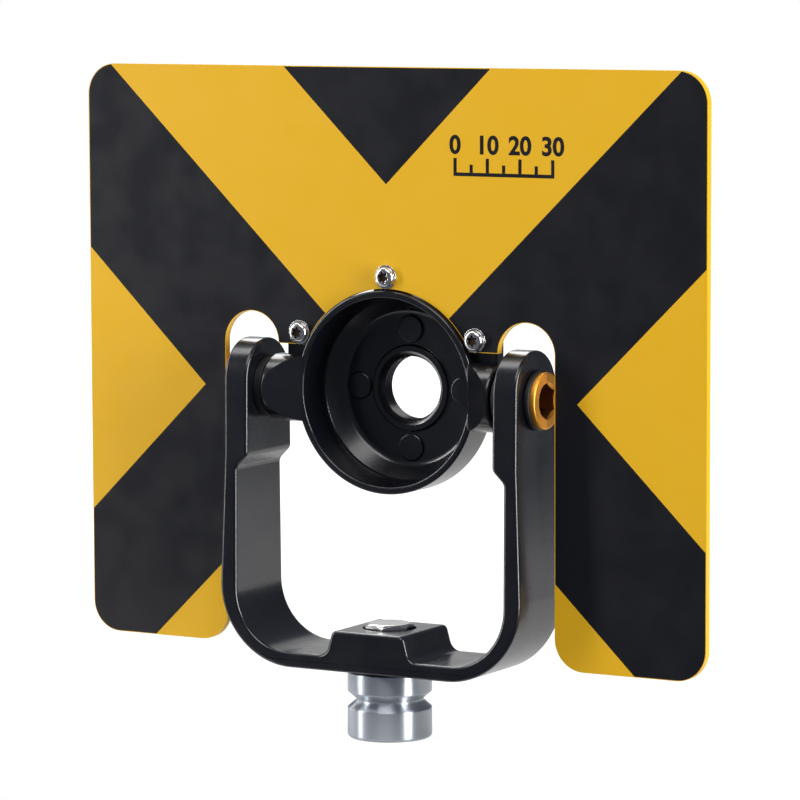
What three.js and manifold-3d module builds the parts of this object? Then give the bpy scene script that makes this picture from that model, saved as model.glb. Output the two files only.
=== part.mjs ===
// Single-tilt prism holder with a target plate, for surveying.
// Millimetres. +Z is up, the target plate faces -Y, +X is to the right of someone facing the plate.
// The origin is the centre of the pole seat, the ring-shaped face under the base adapter.

import * as THREE from 'three';
import { mergeVertices } from 'three/addons/utils/BufferGeometryUtils.js';
import Module from 'manifold-3d';

const wasm = await Module();
wasm.setup();

// ---------------------------------------------------------------- clearances

const RUNNING_GAP = 0.3; // between a round piece and the hole it sits in
const CUT_OVERRUN = 1; // how far a cutting tool runs past the face it opens
const JOIN_OVERLAP = 1; // how far two solids of one piece run into each other where they are joined

// ---------------------------------------------------------------- driving dimensions

// Tilt axis, parallel to X above the origin.
const PIVOT_HEIGHT = 88.5;

// Target plate: sheet aluminium.
const PLATE_WIDTH = 180;
const PLATE_HEIGHT = 150;
const PLATE_THICKNESS = 2;
const PLATE_CORNER_RADIUS = 8;
const PLATE_TOP_ABOVE_PIVOT = 82.5;
const PLATE_FRONT_Y = -0.9;
const PLATE_ARM_CLEARANCE = 4.3; // from the foot of an arm to the cut-out beside it
const PLATE_TONGUE_ABOVE_PIVOT = 11.3; // lower edge of the tongue between the arms
const PLATE_DISH_CLEARANCE = 0.4;
const LOBE_RADIUS = 8; // round relief above each arm
const LOBE_END_ANGLE = 9; // where its arc stops above the tongue's lower edge, in degrees
const TONGUE_CORNER = 1.6; // length of the slant from there to the tongue's lower edge

// Fork: a cast yoke, two arms on a bridge.
const FORK_DEPTH = 21.8; // front to back at the top of the arms
const FORK_FOOT_DEPTH = 23.8;
const FORK_BOTTOM = 17.5;
const FORK_BASE_THICKNESS = 4;
const ARM_FLARE = 1.2; // how far the foot of each arm stands out past its top
const ARM_HUB_THICKNESS = 6.9;
const ARM_FOOT_THICKNESS = 4.8;
const ARM_TOP_ABOVE_PIVOT = 12.5;
const ARM_STEP_BELOW_PIVOT = 17; // where the thick hub starts to narrow
const ARM_STEP_HEIGHT = 3.2;
const FORK_OUTER_CORNER = 21;
const FORK_INNER_CORNER = 15.4;
const BOSS_HEIGHT = 6.5;
const BOSS_TOP_HALF = 10.4;
const BOSS_FOOT_HALF = 12.6;
const BOSS_FOOT_FILLET = 3;
const BOSS_FLANK_LEAN = 1; // how far the boss narrows over its foot's fillet
const SPIGOT_RADIUS = 9.6; // shallow round pad under the bridge
const SPIGOT_HEIGHT = 0.5;

// Base adapter: a turned aluminium stub that screws on to a pole.
const ADAPTER_RADIUS = 10.85;
const ADAPTER_GROOVE_RADIUS = 8.4;
const ADAPTER_GROOVE_HEIGHT = 9.8;
const ADAPTER_GROOVE_HALF = 2.1;
const ADAPTER_CHAMFER = 1;
const POLE_THREAD_RADIUS = 6.9; // inside a 5/8 inch female thread
const POLE_THREAD_DEPTH = 11;
const POLE_THREAD_LEAD_IN = 1;

// Adapter bolt: a quarter-inch hexagon head bolt, down through the bridge.
const BOLT_ACROSS_FLATS = 11.1;
const BOLT_HEAD_TURN = 11.5; // how far the tightened head is turned, in degrees
const BOLT_HEAD_HEIGHT = 4.1;
const BOLT_HEAD_CHAMFER = 0.9;
const BOLT_SHANK_RADIUS = 3.1;
const BOLT_RECESS_CLEARANCE = 0.5; // round the corners of the bolt's head
const BOLT_RECESS_DEPTH = 4;
const BOLT_WASHER_THICKNESS = 1.2;
const BOLT_END_ABOVE_SOCKET = 0.5;

// Prism holder: a cast dish, open at the front, that the prism canister screws into.
const DISH_RADIUS = 26;
const DISH_FRONT_Y = -2.3;
const DISH_WALL = 1.9;
const DISH_WALL_DEPTH = 9.8; // depth of the straight inner wall
const DISH_FLOOR_DEPTH = 14;
const DISH_FLOOR_RADIUS = 19.6;
const DISH_FLOOR_THICKNESS = 2.5;
const DISH_BAND_DEPTH = 10.4; // straight outer wall behind the rim
const DISH_BACK_RADIUS = 22.5;
const DISH_RIM_CHAMFER = 0.4;
const SOCKET_RADIUS = 8.1; // inside the canister's thread
const SOCKET_LEAD_IN = 1.4;
const COLLAR_RADIUS = 11;
const COLLAR_HEIGHT = 0.8;
const SOCKET_LENGTH = 6.3;
const PAD_RADIUS = 3.6; // four round pads on the dish's floor
const PAD_HEIGHT = 0.7;
const PAD_CIRCLE_RADIUS = 15.3;

// Trunnions: the two round arms of the prism holder that carry the pivot screws.
const TRUNNION_RADIUS = 8.7;
const TRUNNION_LENGTH = 7.3; // from the dish's rim to a trunnion's end
const TRUNNION_END_GAP = 2.4; // from the end of a trunnion to the arm's inner face
const TRUNNION_FLAT_RUN = 8.2; // the slanted flat on the front, measured along X
const TRUNNION_FLAT_START = 0.5; // from the trunnion's end to that flat

// Plate screws: three, through the plate into ears on the dish.
const SCREW_FROM_DISH = 3.4; // from the dish's rim out to a screw's centre
const SCREW_SIDE_ANGLE = 29.2; // of the side screws above the tilt axis, in degrees
const SCREW_SHANK_RADIUS = 1.5;
const SCREW_HEAD_RADIUS = 2.6;
const SCREW_HEAD_HEIGHT = 1.3;
const SCREW_CROWN_RADIUS = 2; // the flat on top of the pan head
const SCREW_CROWN_HEIGHT = 0.7; // the sloping part of the pan head
const SCREW_RECESS_RADIUS = 1.3;
const SCREW_RECESS_DEPTH = 0.9;
const LOCK_WASHER_RADIUS = 3.1;
const LOCK_WASHER_THICKNESS = 0.6;
const LOCK_WASHER_SLIT = 0.6;
const EAR_THICKNESS = 4;
const EAR_RADIUS = 5;
const EAR_ROOT = 10; // from a side screw in to where its ear is sunk in the dish
const EAR_SIDE_FOOT_DROP = 8; // from a side screw down to its ear's lower edge, sunk in the trunnion
const EAR_SIDE_CORNER = 1;

// Pivot: a shoulder screw through each arm into the trunnion, in a bush, with friction washers.
const PIVOT_SHOULDER_RADIUS = 5.5;
const PIVOT_THREAD_RADIUS = 3;
const PIVOT_THREAD_LENGTH = 5; // length of the thread inside the trunnion
const PIVOT_HEAD_OVERHANG = 1.65; // how far the head stands out past the shoulder
const PIVOT_HEAD_CHAMFER = 0.5;
const PIVOT_SOCKET_ACROSS_FLATS = 8;
const PIVOT_SOCKET_FLOOR = 2.4; // from the trunnion's end out to the floor of the socket
const PIVOT_SOCKET_TURN = 30; // puts two corners of the socket up and down, in degrees
const HEAD_WASHER_OVERHANG = 2.1; // the same for the washer under it
const PIVOT_STACKS = { // thicknesses outside each arm; the left one is low
  right: { washer: 1.3, head: 1.5 },
  left: { washer: 0.6, head: 0.8 },
};
const THRUST_WASHER_OVERHANG = 2.4; // and for the washer inside the arm
const BUSH_WALL = 0.9;

const ROUND_LARGE = 72; // segments round the dish and its notch
const ROUND = 48; // segments round a middling circle
const ROUND_SMALL = 28; // segments round a small circle

// ---------------------------------------------------------------- places worked out from those

const HALF_DEPTH = FORK_DEPTH / 2;
const HALF_FOOT_DEPTH = FORK_FOOT_DEPTH / 2;
const FORK_BASE_TOP = FORK_BOTTOM + FORK_BASE_THICKNESS;
const BOSS_TOP = FORK_BASE_TOP + BOSS_HEIGHT;
const ARM_TOP = PIVOT_HEIGHT + ARM_TOP_ABOVE_PIVOT;
const TRUNNION_END = DISH_RADIUS + TRUNNION_LENGTH;
const ARM_INNER_HUB = TRUNNION_END + TRUNNION_END_GAP;
const ARM_OUTER_HALF_TOP = ARM_INNER_HUB + ARM_HUB_THICKNESS;
const ARM_OUTER_HALF_FOOT = ARM_OUTER_HALF_TOP + ARM_FLARE;
const ARM_INNER_FOOT = ARM_OUTER_HALF_FOOT - ARM_FOOT_THICKNESS;
const ARM_STEP_TOP = PIVOT_HEIGHT - ARM_STEP_BELOW_PIVOT;
const ARM_STEP_BOTTOM = ARM_STEP_TOP - ARM_STEP_HEIGHT;
const SPIGOT_BOTTOM = FORK_BOTTOM - SPIGOT_HEIGHT;

const PLATE_BACK_Y = PLATE_FRONT_Y + PLATE_THICKNESS;
const PLATE_TOP = PIVOT_HEIGHT + PLATE_TOP_ABOVE_PIVOT;
const PLATE_BOTTOM = PLATE_TOP - PLATE_HEIGHT;
const CUTOUT_HALF = ARM_OUTER_HALF_FOOT + PLATE_ARM_CLEARANCE;
const TONGUE_BOTTOM = PIVOT_HEIGHT + PLATE_TONGUE_ABOVE_PIVOT;
const LOBE_CENTRE_X = CUTOUT_HALF - LOBE_RADIUS;

const DISH_FLOOR_Y = DISH_FRONT_Y + DISH_FLOOR_DEPTH;
const DISH_BACK_Y = DISH_FLOOR_Y + DISH_FLOOR_THICKNESS;
const COLLAR_FRONT_Y = DISH_FLOOR_Y - COLLAR_HEIGHT;
const SOCKET_BACK_Y = COLLAR_FRONT_Y + SOCKET_LENGTH;

const BOLT_HEAD_CORNER = BOLT_ACROSS_FLATS / Math.sqrt(3);
const BOLT_RECESS_RADIUS = BOLT_HEAD_CORNER + BOLT_RECESS_CLEARANCE;
const BOLT_RECESS_FLOOR = BOSS_TOP - BOLT_RECESS_DEPTH;
const BOLT_SEAT = BOLT_RECESS_FLOOR + BOLT_WASHER_THICKNESS;

const BUSH_INNER = PIVOT_SHOULDER_RADIUS + RUNNING_GAP;
const BUSH_OUTER = BUSH_INNER + BUSH_WALL;
const ARM_BORE_RADIUS = BUSH_OUTER + RUNNING_GAP;
const PIVOT_HEAD_RADIUS = PIVOT_SHOULDER_RADIUS + PIVOT_HEAD_OVERHANG;
const HEAD_WASHER_RADIUS = PIVOT_SHOULDER_RADIUS + HEAD_WASHER_OVERHANG;
const THRUST_WASHER_RADIUS = PIVOT_SHOULDER_RADIUS + THRUST_WASHER_OVERHANG;
const HEAD_WASHER_INNER_X = ARM_OUTER_HALF_TOP + RUNNING_GAP;

const radians = THREE.MathUtils.degToRad;

const SCREW_CIRCLE_RADIUS = DISH_RADIUS + SCREW_FROM_DISH;
const PLATE_SCREWS = [
  ['top', 90],
  ['left', 180 - SCREW_SIDE_ANGLE],
  ['right', SCREW_SIDE_ANGLE],
].map(([name, degrees]) => ({
  name,
  x: SCREW_CIRCLE_RADIUS * Math.cos(radians(degrees)),
  z: PIVOT_HEIGHT + SCREW_CIRCLE_RADIUS * Math.sin(radians(degrees)),
}));

// ---------------------------------------------------------------- solids

/** A manifold solid from a closed three.js geometry. */
function solid(geometry) {
  const bare = geometry.index ? geometry.toNonIndexed() : geometry.clone();
  bare.deleteAttribute('normal');
  bare.deleteAttribute('uv');
  const merged = mergeVertices(bare, 1e-5);
  return new wasm.Manifold(new wasm.Mesh({
    numProp: 3,
    vertProperties: new Float32Array(merged.attributes.position.array),
    triVerts: new Uint32Array(merged.index.array),
  }));
}

/** A three.js mesh from a manifold solid. */
function piece(name, body, material) {
  const mesh = body.getMesh();
  const geometry = new THREE.BufferGeometry();
  geometry.setAttribute('position', new THREE.BufferAttribute(new Float32Array(mesh.vertProperties), 3));
  geometry.setIndex(new THREE.BufferAttribute(new Uint32Array(mesh.triVerts), 1));
  const node = new THREE.Mesh(geometry, new THREE.MeshStandardMaterial(material));
  node.name = name;
  return node;
}

function box(minimum, maximum) {
  const size = maximum.map((value, axis) => value - minimum[axis]);
  const geometry = new THREE.BoxGeometry(...size);
  geometry.translate(...minimum.map((value, axis) => value + size[axis] / 2));
  return solid(geometry);
}

/** Turns a geometry whose own axis is +Z so that the axis points along x, y or z, then moves it. */
function along(geometry, axis, place) {
  if (axis === 'x') geometry.rotateY(Math.PI / 2);
  if (axis === 'y') geometry.rotateX(-Math.PI / 2);
  geometry.translate(...place);
  return geometry;
}

/** A solid of revolution: profile is [radius, station] pairs, closed, with stations along the axis. */
function turned(profile, axis, place, segments = ROUND) {
  const points = profile.map(([radius, station]) => new THREE.Vector2(radius, station));
  if (THREE.ShapeUtils.isClockWise(points)) points.reverse();
  const geometry = new THREE.LatheGeometry([...points, points[0].clone()], segments);
  geometry.rotateX(Math.PI / 2);
  return solid(along(geometry, axis, place));
}

/** A ring between two stations. */
function ring(outer, inner, start, end, axis, place, segments = ROUND) {
  const profile = [[inner, start], [outer, start], [outer, end], [inner, end]];
  return turned(profile, axis, place, segments);
}

/** A rod between two stations. */
function rod(radius, start, end, axis, place, segments = ROUND_SMALL) {
  const geometry = new THREE.CylinderGeometry(radius, radius, end - start, segments);
  geometry.rotateX(Math.PI / 2);
  geometry.translate(0, 0, (start + end) / 2);
  return solid(along(geometry, axis, place));
}

/** A hexagonal rod between two stations, turned about its own axis by some degrees. */
function hexagonRod(acrossFlats, start, end, axis, place, turn = 0) {
  const radius = acrossFlats / Math.sqrt(3);
  const geometry = new THREE.CylinderGeometry(radius, radius, end - start, 6);
  geometry.rotateX(Math.PI / 2);
  geometry.rotateZ(radians(turn));
  geometry.translate(0, 0, (start + end) / 2);
  return solid(along(geometry, axis, place));
}

/** A front view outline, drawn in X and Z, made solid from one Y to another. */
function slab(shape, frontY, backY) {
  const depth = backY - frontY;
  const geometry = new THREE.ExtrudeGeometry(shape, { depth, bevelEnabled: false, curveSegments: 16 });
  geometry.rotateX(Math.PI / 2);
  geometry.translate(0, backY, 0);
  return solid(geometry);
}

/** What comes in pairs: the right-hand one lies towards +X. */
const SIDES = [['right', 1], ['left', -1]];

/** Puts what is made for the right on the given side. */
const onSide = (body, side) => (side > 0 ? body : body.mirror([1, 0, 0]));

// ---------------------------------------------------------------- finishes

const BLACK_PAINT = { color: 0x191c24, roughness: 0.38, metalness: 0.0 };
const YELLOW_PAINT = { color: 0xe8b126, roughness: 0.42, metalness: 0.0 };
const TURNED_ALUMINIUM = { color: 0xb9bec4, roughness: 0.3, metalness: 1.0 };
const BRIGHT_STEEL = { color: 0xd2d3d6, roughness: 0.18, metalness: 1.0 };
const GOLD_ANODISED = { color: 0xd8962f, roughness: 0.3, metalness: 1.0 };
const BLACK_NYLON = { color: 0x0c0d10, roughness: 0.55, metalness: 0.0 };
const BUSH_BRONZE = { color: 0xa97a45, roughness: 0.35, metalness: 1.0 };

// ---------------------------------------------------------------- fork

/** The fork's front view: a flared U with a thick hub at the top of each arm and a central boss. */
function forkOutline() {
  const shape = new THREE.Shape();
  const outerCentre = [ARM_OUTER_HALF_FOOT - FORK_OUTER_CORNER, FORK_BOTTOM + FORK_OUTER_CORNER];
  const innerCentre = [ARM_INNER_FOOT - FORK_INNER_CORNER, FORK_BASE_TOP + FORK_INNER_CORNER];
  const filletTop = [BOSS_FOOT_HALF - BOSS_FLANK_LEAN, FORK_BASE_TOP + BOSS_FOOT_FILLET];
  const quarter = Math.PI / 2;
  shape.moveTo(ARM_OUTER_HALF_TOP, ARM_TOP);
  shape.lineTo(ARM_INNER_HUB, ARM_TOP);
  shape.lineTo(ARM_INNER_HUB, ARM_STEP_TOP);
  shape.lineTo(ARM_INNER_FOOT, ARM_STEP_BOTTOM);
  shape.absarc(innerCentre[0], innerCentre[1], FORK_INNER_CORNER, 0, -quarter, true);
  shape.lineTo(BOSS_FOOT_HALF + BOSS_FOOT_FILLET, FORK_BASE_TOP);
  shape.quadraticCurveTo(BOSS_FOOT_HALF, FORK_BASE_TOP, filletTop[0], filletTop[1]);
  shape.lineTo(BOSS_TOP_HALF, BOSS_TOP);
  shape.lineTo(-BOSS_TOP_HALF, BOSS_TOP);
  shape.lineTo(-filletTop[0], filletTop[1]);
  shape.quadraticCurveTo(-BOSS_FOOT_HALF, FORK_BASE_TOP, -BOSS_FOOT_HALF - BOSS_FOOT_FILLET, FORK_BASE_TOP);
  shape.absarc(-innerCentre[0], innerCentre[1], FORK_INNER_CORNER, -quarter, -2 * quarter, true);
  shape.lineTo(-ARM_INNER_FOOT, ARM_STEP_BOTTOM);
  shape.lineTo(-ARM_INNER_HUB, ARM_STEP_TOP);
  shape.lineTo(-ARM_INNER_HUB, ARM_TOP);
  shape.lineTo(-ARM_OUTER_HALF_TOP, ARM_TOP);
  shape.lineTo(-ARM_OUTER_HALF_TOP, ARM_STEP_TOP);
  shape.absarc(-outerCentre[0], outerCentre[1], FORK_OUTER_CORNER, 2 * quarter, 3 * quarter, false);
  shape.absarc(outerCentre[0], outerCentre[1], FORK_OUTER_CORNER, 3 * quarter, 4 * quarter, false);
  shape.lineTo(ARM_OUTER_HALF_TOP, ARM_STEP_TOP);
  return shape;
}

/** The fork's side view: drafted sides, wider at the foot, with a half-round top. */
function forkSideEnvelope() {
  const half = ARM_OUTER_HALF_FOOT + CUT_OVERRUN;
  const domeCentre = ARM_TOP - HALF_DEPTH;
  const foot = FORK_BOTTOM - CUT_OVERRUN;
  const side = new THREE.Shape();
  side.moveTo(-HALF_FOOT_DEPTH, foot);
  side.lineTo(HALF_FOOT_DEPTH, foot);
  side.lineTo(HALF_DEPTH, domeCentre);
  side.lineTo(-HALF_DEPTH, domeCentre);
  const sides = new THREE.ExtrudeGeometry(side, { depth: 2 * half, bevelEnabled: false });
  sides.translate(0, 0, -half);
  sides.applyMatrix4(new THREE.Matrix4().makeBasis(
    new THREE.Vector3(0, 1, 0), new THREE.Vector3(0, 0, 1), new THREE.Vector3(1, 0, 0),
  ));
  return solid(sides).add(rod(HALF_DEPTH, -half, half, 'x', [0, 0, domeCentre], ROUND));
}

function fork() {
  let body = slab(forkOutline(), -HALF_FOOT_DEPTH, HALF_FOOT_DEPTH).intersect(forkSideEnvelope());
  body = body.add(rod(SPIGOT_RADIUS, SPIGOT_BOTTOM, FORK_BASE_TOP, 'z', [0, 0, 0], ROUND));
  for (const [, side] of SIDES) {
    const inner = Math.min(side * ARM_INNER_HUB, side * ARM_OUTER_HALF_TOP) - CUT_OVERRUN;
    const outer = Math.max(side * ARM_INNER_HUB, side * ARM_OUTER_HALF_TOP) + CUT_OVERRUN;
    body = body.subtract(rod(ARM_BORE_RADIUS, inner, outer, 'x', [0, 0, PIVOT_HEIGHT]));
  }
  const recess = rod(BOLT_RECESS_RADIUS, BOLT_RECESS_FLOOR, BOSS_TOP + CUT_OVERRUN, 'z', [0, 0, 0], ROUND);
  const hole = rod(
    BOLT_SHANK_RADIUS + RUNNING_GAP, SPIGOT_BOTTOM - CUT_OVERRUN, BOSS_TOP, 'z', [0, 0, 0],
  );
  return body.subtract(recess).subtract(hole);
}

// ---------------------------------------------------------------- base adapter and its bolt

function baseAdapter() {
  const boltHole = BOLT_SHANK_RADIUS + RUNNING_GAP;
  return turned([
    [POLE_THREAD_RADIUS + POLE_THREAD_LEAD_IN, 0],
    [ADAPTER_RADIUS - ADAPTER_CHAMFER, 0],
    [ADAPTER_RADIUS, ADAPTER_CHAMFER],
    [ADAPTER_RADIUS, ADAPTER_GROOVE_HEIGHT - ADAPTER_GROOVE_HALF],
    [ADAPTER_GROOVE_RADIUS, ADAPTER_GROOVE_HEIGHT],
    [ADAPTER_RADIUS, ADAPTER_GROOVE_HEIGHT + ADAPTER_GROOVE_HALF],
    [ADAPTER_RADIUS, SPIGOT_BOTTOM],
    [boltHole, SPIGOT_BOTTOM],
    [boltHole, POLE_THREAD_DEPTH],
    [POLE_THREAD_RADIUS, POLE_THREAD_DEPTH],
    [POLE_THREAD_RADIUS, POLE_THREAD_LEAD_IN],
  ], 'z', [0, 0, 0]);
}

function adapterBolt() {
  const top = BOLT_SEAT + BOLT_HEAD_HEIGHT;
  const head = hexagonRod(BOLT_ACROSS_FLATS, BOLT_SEAT, top, 'z', [0, 0, 0], BOLT_HEAD_TURN);
  const flatRadius = BOLT_ACROSS_FLATS / 2 - BOLT_HEAD_CHAMFER / 2;
  const slope = BOLT_HEAD_CHAMFER / (BOLT_HEAD_CORNER - flatRadius);
  const reach = BOLT_HEAD_CORNER + CUT_OVERRUN;
  const chamfer = turned([
    [0, BOLT_SEAT - CUT_OVERRUN],
    [reach, BOLT_SEAT - CUT_OVERRUN],
    [reach, top - slope * (reach - flatRadius)],
    [flatRadius, top],
    [0, top],
  ], 'z', [0, 0, 0]);
  const shankEnd = POLE_THREAD_DEPTH + BOLT_END_ABOVE_SOCKET;
  const shank = rod(BOLT_SHANK_RADIUS, shankEnd, BOLT_SEAT + JOIN_OVERLAP, 'z', [0, 0, 0]);
  return head.intersect(chamfer).add(shank);
}

function boltWasher() {
  const outer = BOLT_RECESS_RADIUS - RUNNING_GAP;
  return ring(outer, BOLT_SHANK_RADIUS + RUNNING_GAP, BOLT_RECESS_FLOOR, BOLT_SEAT, 'z', [0, 0, 0]);
}

// ---------------------------------------------------------------- prism holder

const DISH_PLACE = [0, 0, PIVOT_HEIGHT];

function dish() {
  const innerFront = DISH_RADIUS - DISH_WALL;
  return turned([
    [SOCKET_RADIUS, SOCKET_BACK_Y],
    [SOCKET_RADIUS, COLLAR_FRONT_Y + SOCKET_LEAD_IN],
    [SOCKET_RADIUS + SOCKET_LEAD_IN, COLLAR_FRONT_Y],
    [COLLAR_RADIUS, COLLAR_FRONT_Y],
    [COLLAR_RADIUS, DISH_FLOOR_Y],
    [DISH_FLOOR_RADIUS, DISH_FLOOR_Y],
    [innerFront - DISH_RIM_CHAMFER, DISH_FRONT_Y + DISH_WALL_DEPTH],
    [innerFront, DISH_FRONT_Y],
    [DISH_RADIUS - DISH_RIM_CHAMFER, DISH_FRONT_Y],
    [DISH_RADIUS, DISH_FRONT_Y + DISH_RIM_CHAMFER],
    [DISH_RADIUS, DISH_FRONT_Y + DISH_BAND_DEPTH],
    [DISH_BACK_RADIUS, DISH_BACK_Y],
    [COLLAR_RADIUS, DISH_BACK_Y],
    [COLLAR_RADIUS, SOCKET_BACK_Y],
  ], 'y', DISH_PLACE, ROUND_LARGE);
}

/** The room inside the dish, cut from what joins it so that nothing reaches in. */
function dishHollow() {
  const midWall = DISH_RADIUS - DISH_WALL / 2;
  const midFloor = DISH_FLOOR_Y + DISH_FLOOR_THICKNESS / 2;
  return turned([
    [0, -TRUNNION_RADIUS - CUT_OVERRUN],
    [midWall, -TRUNNION_RADIUS - CUT_OVERRUN],
    [midWall, DISH_FRONT_Y + DISH_WALL_DEPTH],
    [DISH_FLOOR_RADIUS, midFloor],
    [0, midFloor],
  ], 'y', DISH_PLACE, ROUND_LARGE);
}

/** The right-hand trunnion: a round bar with a slanted flat that keeps its front behind the plate. */
function trunnion() {
  const bar = rod(TRUNNION_RADIUS, DISH_FLOOR_RADIUS, TRUNNION_END, 'x', DISH_PLACE, ROUND);
  const startX = TRUNNION_END - TRUNNION_FLAT_START;
  const endX = startX - TRUNNION_FLAT_RUN;
  const endY = -TRUNNION_RADIUS + TRUNNION_FLAT_RUN;
  const frontY = -TRUNNION_RADIUS - CUT_OVERRUN;
  const flat = new THREE.Shape();
  flat.moveTo(startX, frontY);
  flat.lineTo(startX, -TRUNNION_RADIUS);
  flat.lineTo(endX, endY);
  flat.lineTo(0, endY);
  flat.lineTo(0, frontY);
  const depth = 2 * (TRUNNION_RADIUS + CUT_OVERRUN);
  const cutter = new THREE.ExtrudeGeometry(flat, { depth, bevelEnabled: false });
  cutter.translate(0, 0, PIVOT_HEIGHT - depth / 2);
  return bar.subtract(solid(cutter));
}

/** An ear behind the plate, from the dish out to a plate screw. */
function ear({ name, x, z }) {
  const shape = new THREE.Shape();
  if (name === 'top') {
    shape.moveTo(-EAR_RADIUS, PIVOT_HEIGHT + DISH_FLOOR_RADIUS);
    shape.lineTo(EAR_RADIUS, PIVOT_HEIGHT + DISH_FLOOR_RADIUS);
    shape.absarc(x, z, EAR_RADIUS, 0, Math.PI, false);
  } else {
    const side = Math.sign(x);
    const foot = z - EAR_SIDE_FOOT_DROP;
    shape.moveTo(x - side * EAR_ROOT, foot);
    shape.lineTo(x + side * (EAR_RADIUS - EAR_SIDE_CORNER), foot);
    shape.lineTo(x + side * EAR_RADIUS, foot + EAR_SIDE_CORNER);
    shape.absarc(x, z, EAR_RADIUS, side > 0 ? 0 : Math.PI, Math.PI / 2, side < 0);
    shape.lineTo(x - side * EAR_ROOT, z + EAR_RADIUS);
  }
  return slab(shape, PLATE_BACK_Y, PLATE_BACK_Y + EAR_THICKNESS);
}

function prismHolder() {
  let body = trunnion().add(onSide(trunnion(), -1));
  for (const screw of PLATE_SCREWS) body = body.add(ear(screw));
  body = body.subtract(dishHollow()).add(dish());
  for (let quarter = 0; quarter < 4; quarter += 1) {
    const angle = quarter * Math.PI / 2;
    const place = [PAD_CIRCLE_RADIUS * Math.cos(angle), 0, PIVOT_HEIGHT + PAD_CIRCLE_RADIUS * Math.sin(angle)];
    body = body.add(rod(PAD_RADIUS, DISH_FLOOR_Y - PAD_HEIGHT, DISH_FLOOR_Y + JOIN_OVERLAP, 'y', place));
  }
  for (const { x, z } of PLATE_SCREWS) {
    const hole = [PLATE_BACK_Y - CUT_OVERRUN, PLATE_BACK_Y + EAR_THICKNESS + CUT_OVERRUN];
    body = body.subtract(rod(SCREW_SHANK_RADIUS + RUNNING_GAP, hole[0], hole[1], 'y', [x, 0, z]));
  }
  const threadEnd = TRUNNION_END - PIVOT_THREAD_LENGTH - RUNNING_GAP;
  const tapping = rod(
    PIVOT_THREAD_RADIUS + RUNNING_GAP, threadEnd, TRUNNION_END + CUT_OVERRUN, 'x', DISH_PLACE,
  );
  return body.subtract(tapping).subtract(onSide(tapping, -1));
}

// ---------------------------------------------------------------- target plate

/** A rounded rectangle with a cut-out for the fork from below, up to a tongue between two round lobes. */
function plateOutline() {
  const shape = new THREE.Shape();
  const half = PLATE_WIDTH / 2;
  const corner = PLATE_CORNER_RADIUS;
  const quarter = Math.PI / 2;
  const lobeEnd = radians(LOBE_END_ANGLE);
  const rightCentre = half - corner;
  shape.absarc(rightCentre, PLATE_TOP - corner, corner, 0, quarter, false);
  shape.absarc(-rightCentre, PLATE_TOP - corner, corner, quarter, 2 * quarter, false);
  shape.absarc(-rightCentre, PLATE_BOTTOM + corner, corner, 2 * quarter, 3 * quarter, false);
  shape.absarc(-CUTOUT_HALF - corner, PLATE_BOTTOM + corner, corner, 3 * quarter, 4 * quarter, false);
  shape.absarc(-LOBE_CENTRE_X, TONGUE_BOTTOM, LOBE_RADIUS, 2 * quarter, lobeEnd, true);
  shape.lineTo(-LOBE_CENTRE_X + LOBE_RADIUS + TONGUE_CORNER, TONGUE_BOTTOM);
  shape.lineTo(LOBE_CENTRE_X - LOBE_RADIUS - TONGUE_CORNER, TONGUE_BOTTOM);
  shape.absarc(LOBE_CENTRE_X, TONGUE_BOTTOM, LOBE_RADIUS, 2 * quarter - lobeEnd, 0, true);
  shape.absarc(CUTOUT_HALF + corner, PLATE_BOTTOM + corner, corner, 2 * quarter, 3 * quarter, false);
  shape.absarc(rightCentre, PLATE_BOTTOM + corner, corner, 3 * quarter, 4 * quarter, false);
  return shape;
}

function targetPlate() {
  let body = slab(plateOutline(), PLATE_FRONT_Y, PLATE_BACK_Y);
  const [front, back] = [PLATE_FRONT_Y - CUT_OVERRUN, PLATE_BACK_Y + CUT_OVERRUN];
  const notch = rod(DISH_RADIUS + PLATE_DISH_CLEARANCE, front, back, 'y', DISH_PLACE, ROUND_LARGE);
  body = body.subtract(notch);
  for (const { x, z } of PLATE_SCREWS) {
    body = body.subtract(rod(SCREW_SHANK_RADIUS + RUNNING_GAP, front, back, 'y', [x, 0, z]));
  }
  return body;
}

// ---------------------------------------------------------------- plate screws

function plateScrew({ x, z }) {
  const place = [x, 0, z];
  const seat = PLATE_FRONT_Y - LOCK_WASHER_THICKNESS;
  const face = seat - SCREW_HEAD_HEIGHT;
  const body = turned([
    [0, face],
    [SCREW_CROWN_RADIUS, face],
    [SCREW_HEAD_RADIUS, face + SCREW_CROWN_HEIGHT],
    [SCREW_HEAD_RADIUS, seat],
    [SCREW_SHANK_RADIUS, seat],
    [SCREW_SHANK_RADIUS, PLATE_BACK_Y + EAR_THICKNESS - RUNNING_GAP],
    [0, PLATE_BACK_Y + EAR_THICKNESS - RUNNING_GAP],
  ], 'y', place, ROUND_SMALL);
  const socket = hexagonRod(
    SCREW_RECESS_RADIUS * Math.sqrt(3), face - CUT_OVERRUN, face + SCREW_RECESS_DEPTH, 'y', place,
  );
  return body.subtract(socket);
}

function lockWasher({ x, z }) {
  const [front, back] = [PLATE_FRONT_Y - LOCK_WASHER_THICKNESS, PLATE_FRONT_Y];
  const inner = SCREW_SHANK_RADIUS + RUNNING_GAP;
  const body = ring(LOCK_WASHER_RADIUS, inner, front, back, 'y', [x, 0, z], ROUND_SMALL);
  const half = LOCK_WASHER_SLIT / 2;
  const slit = box([x - half, front - CUT_OVERRUN, z - LOCK_WASHER_RADIUS - CUT_OVERRUN],
    [x + half, back + CUT_OVERRUN, z]);
  return body.subtract(slit);
}

// ---------------------------------------------------------------- pivots

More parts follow.
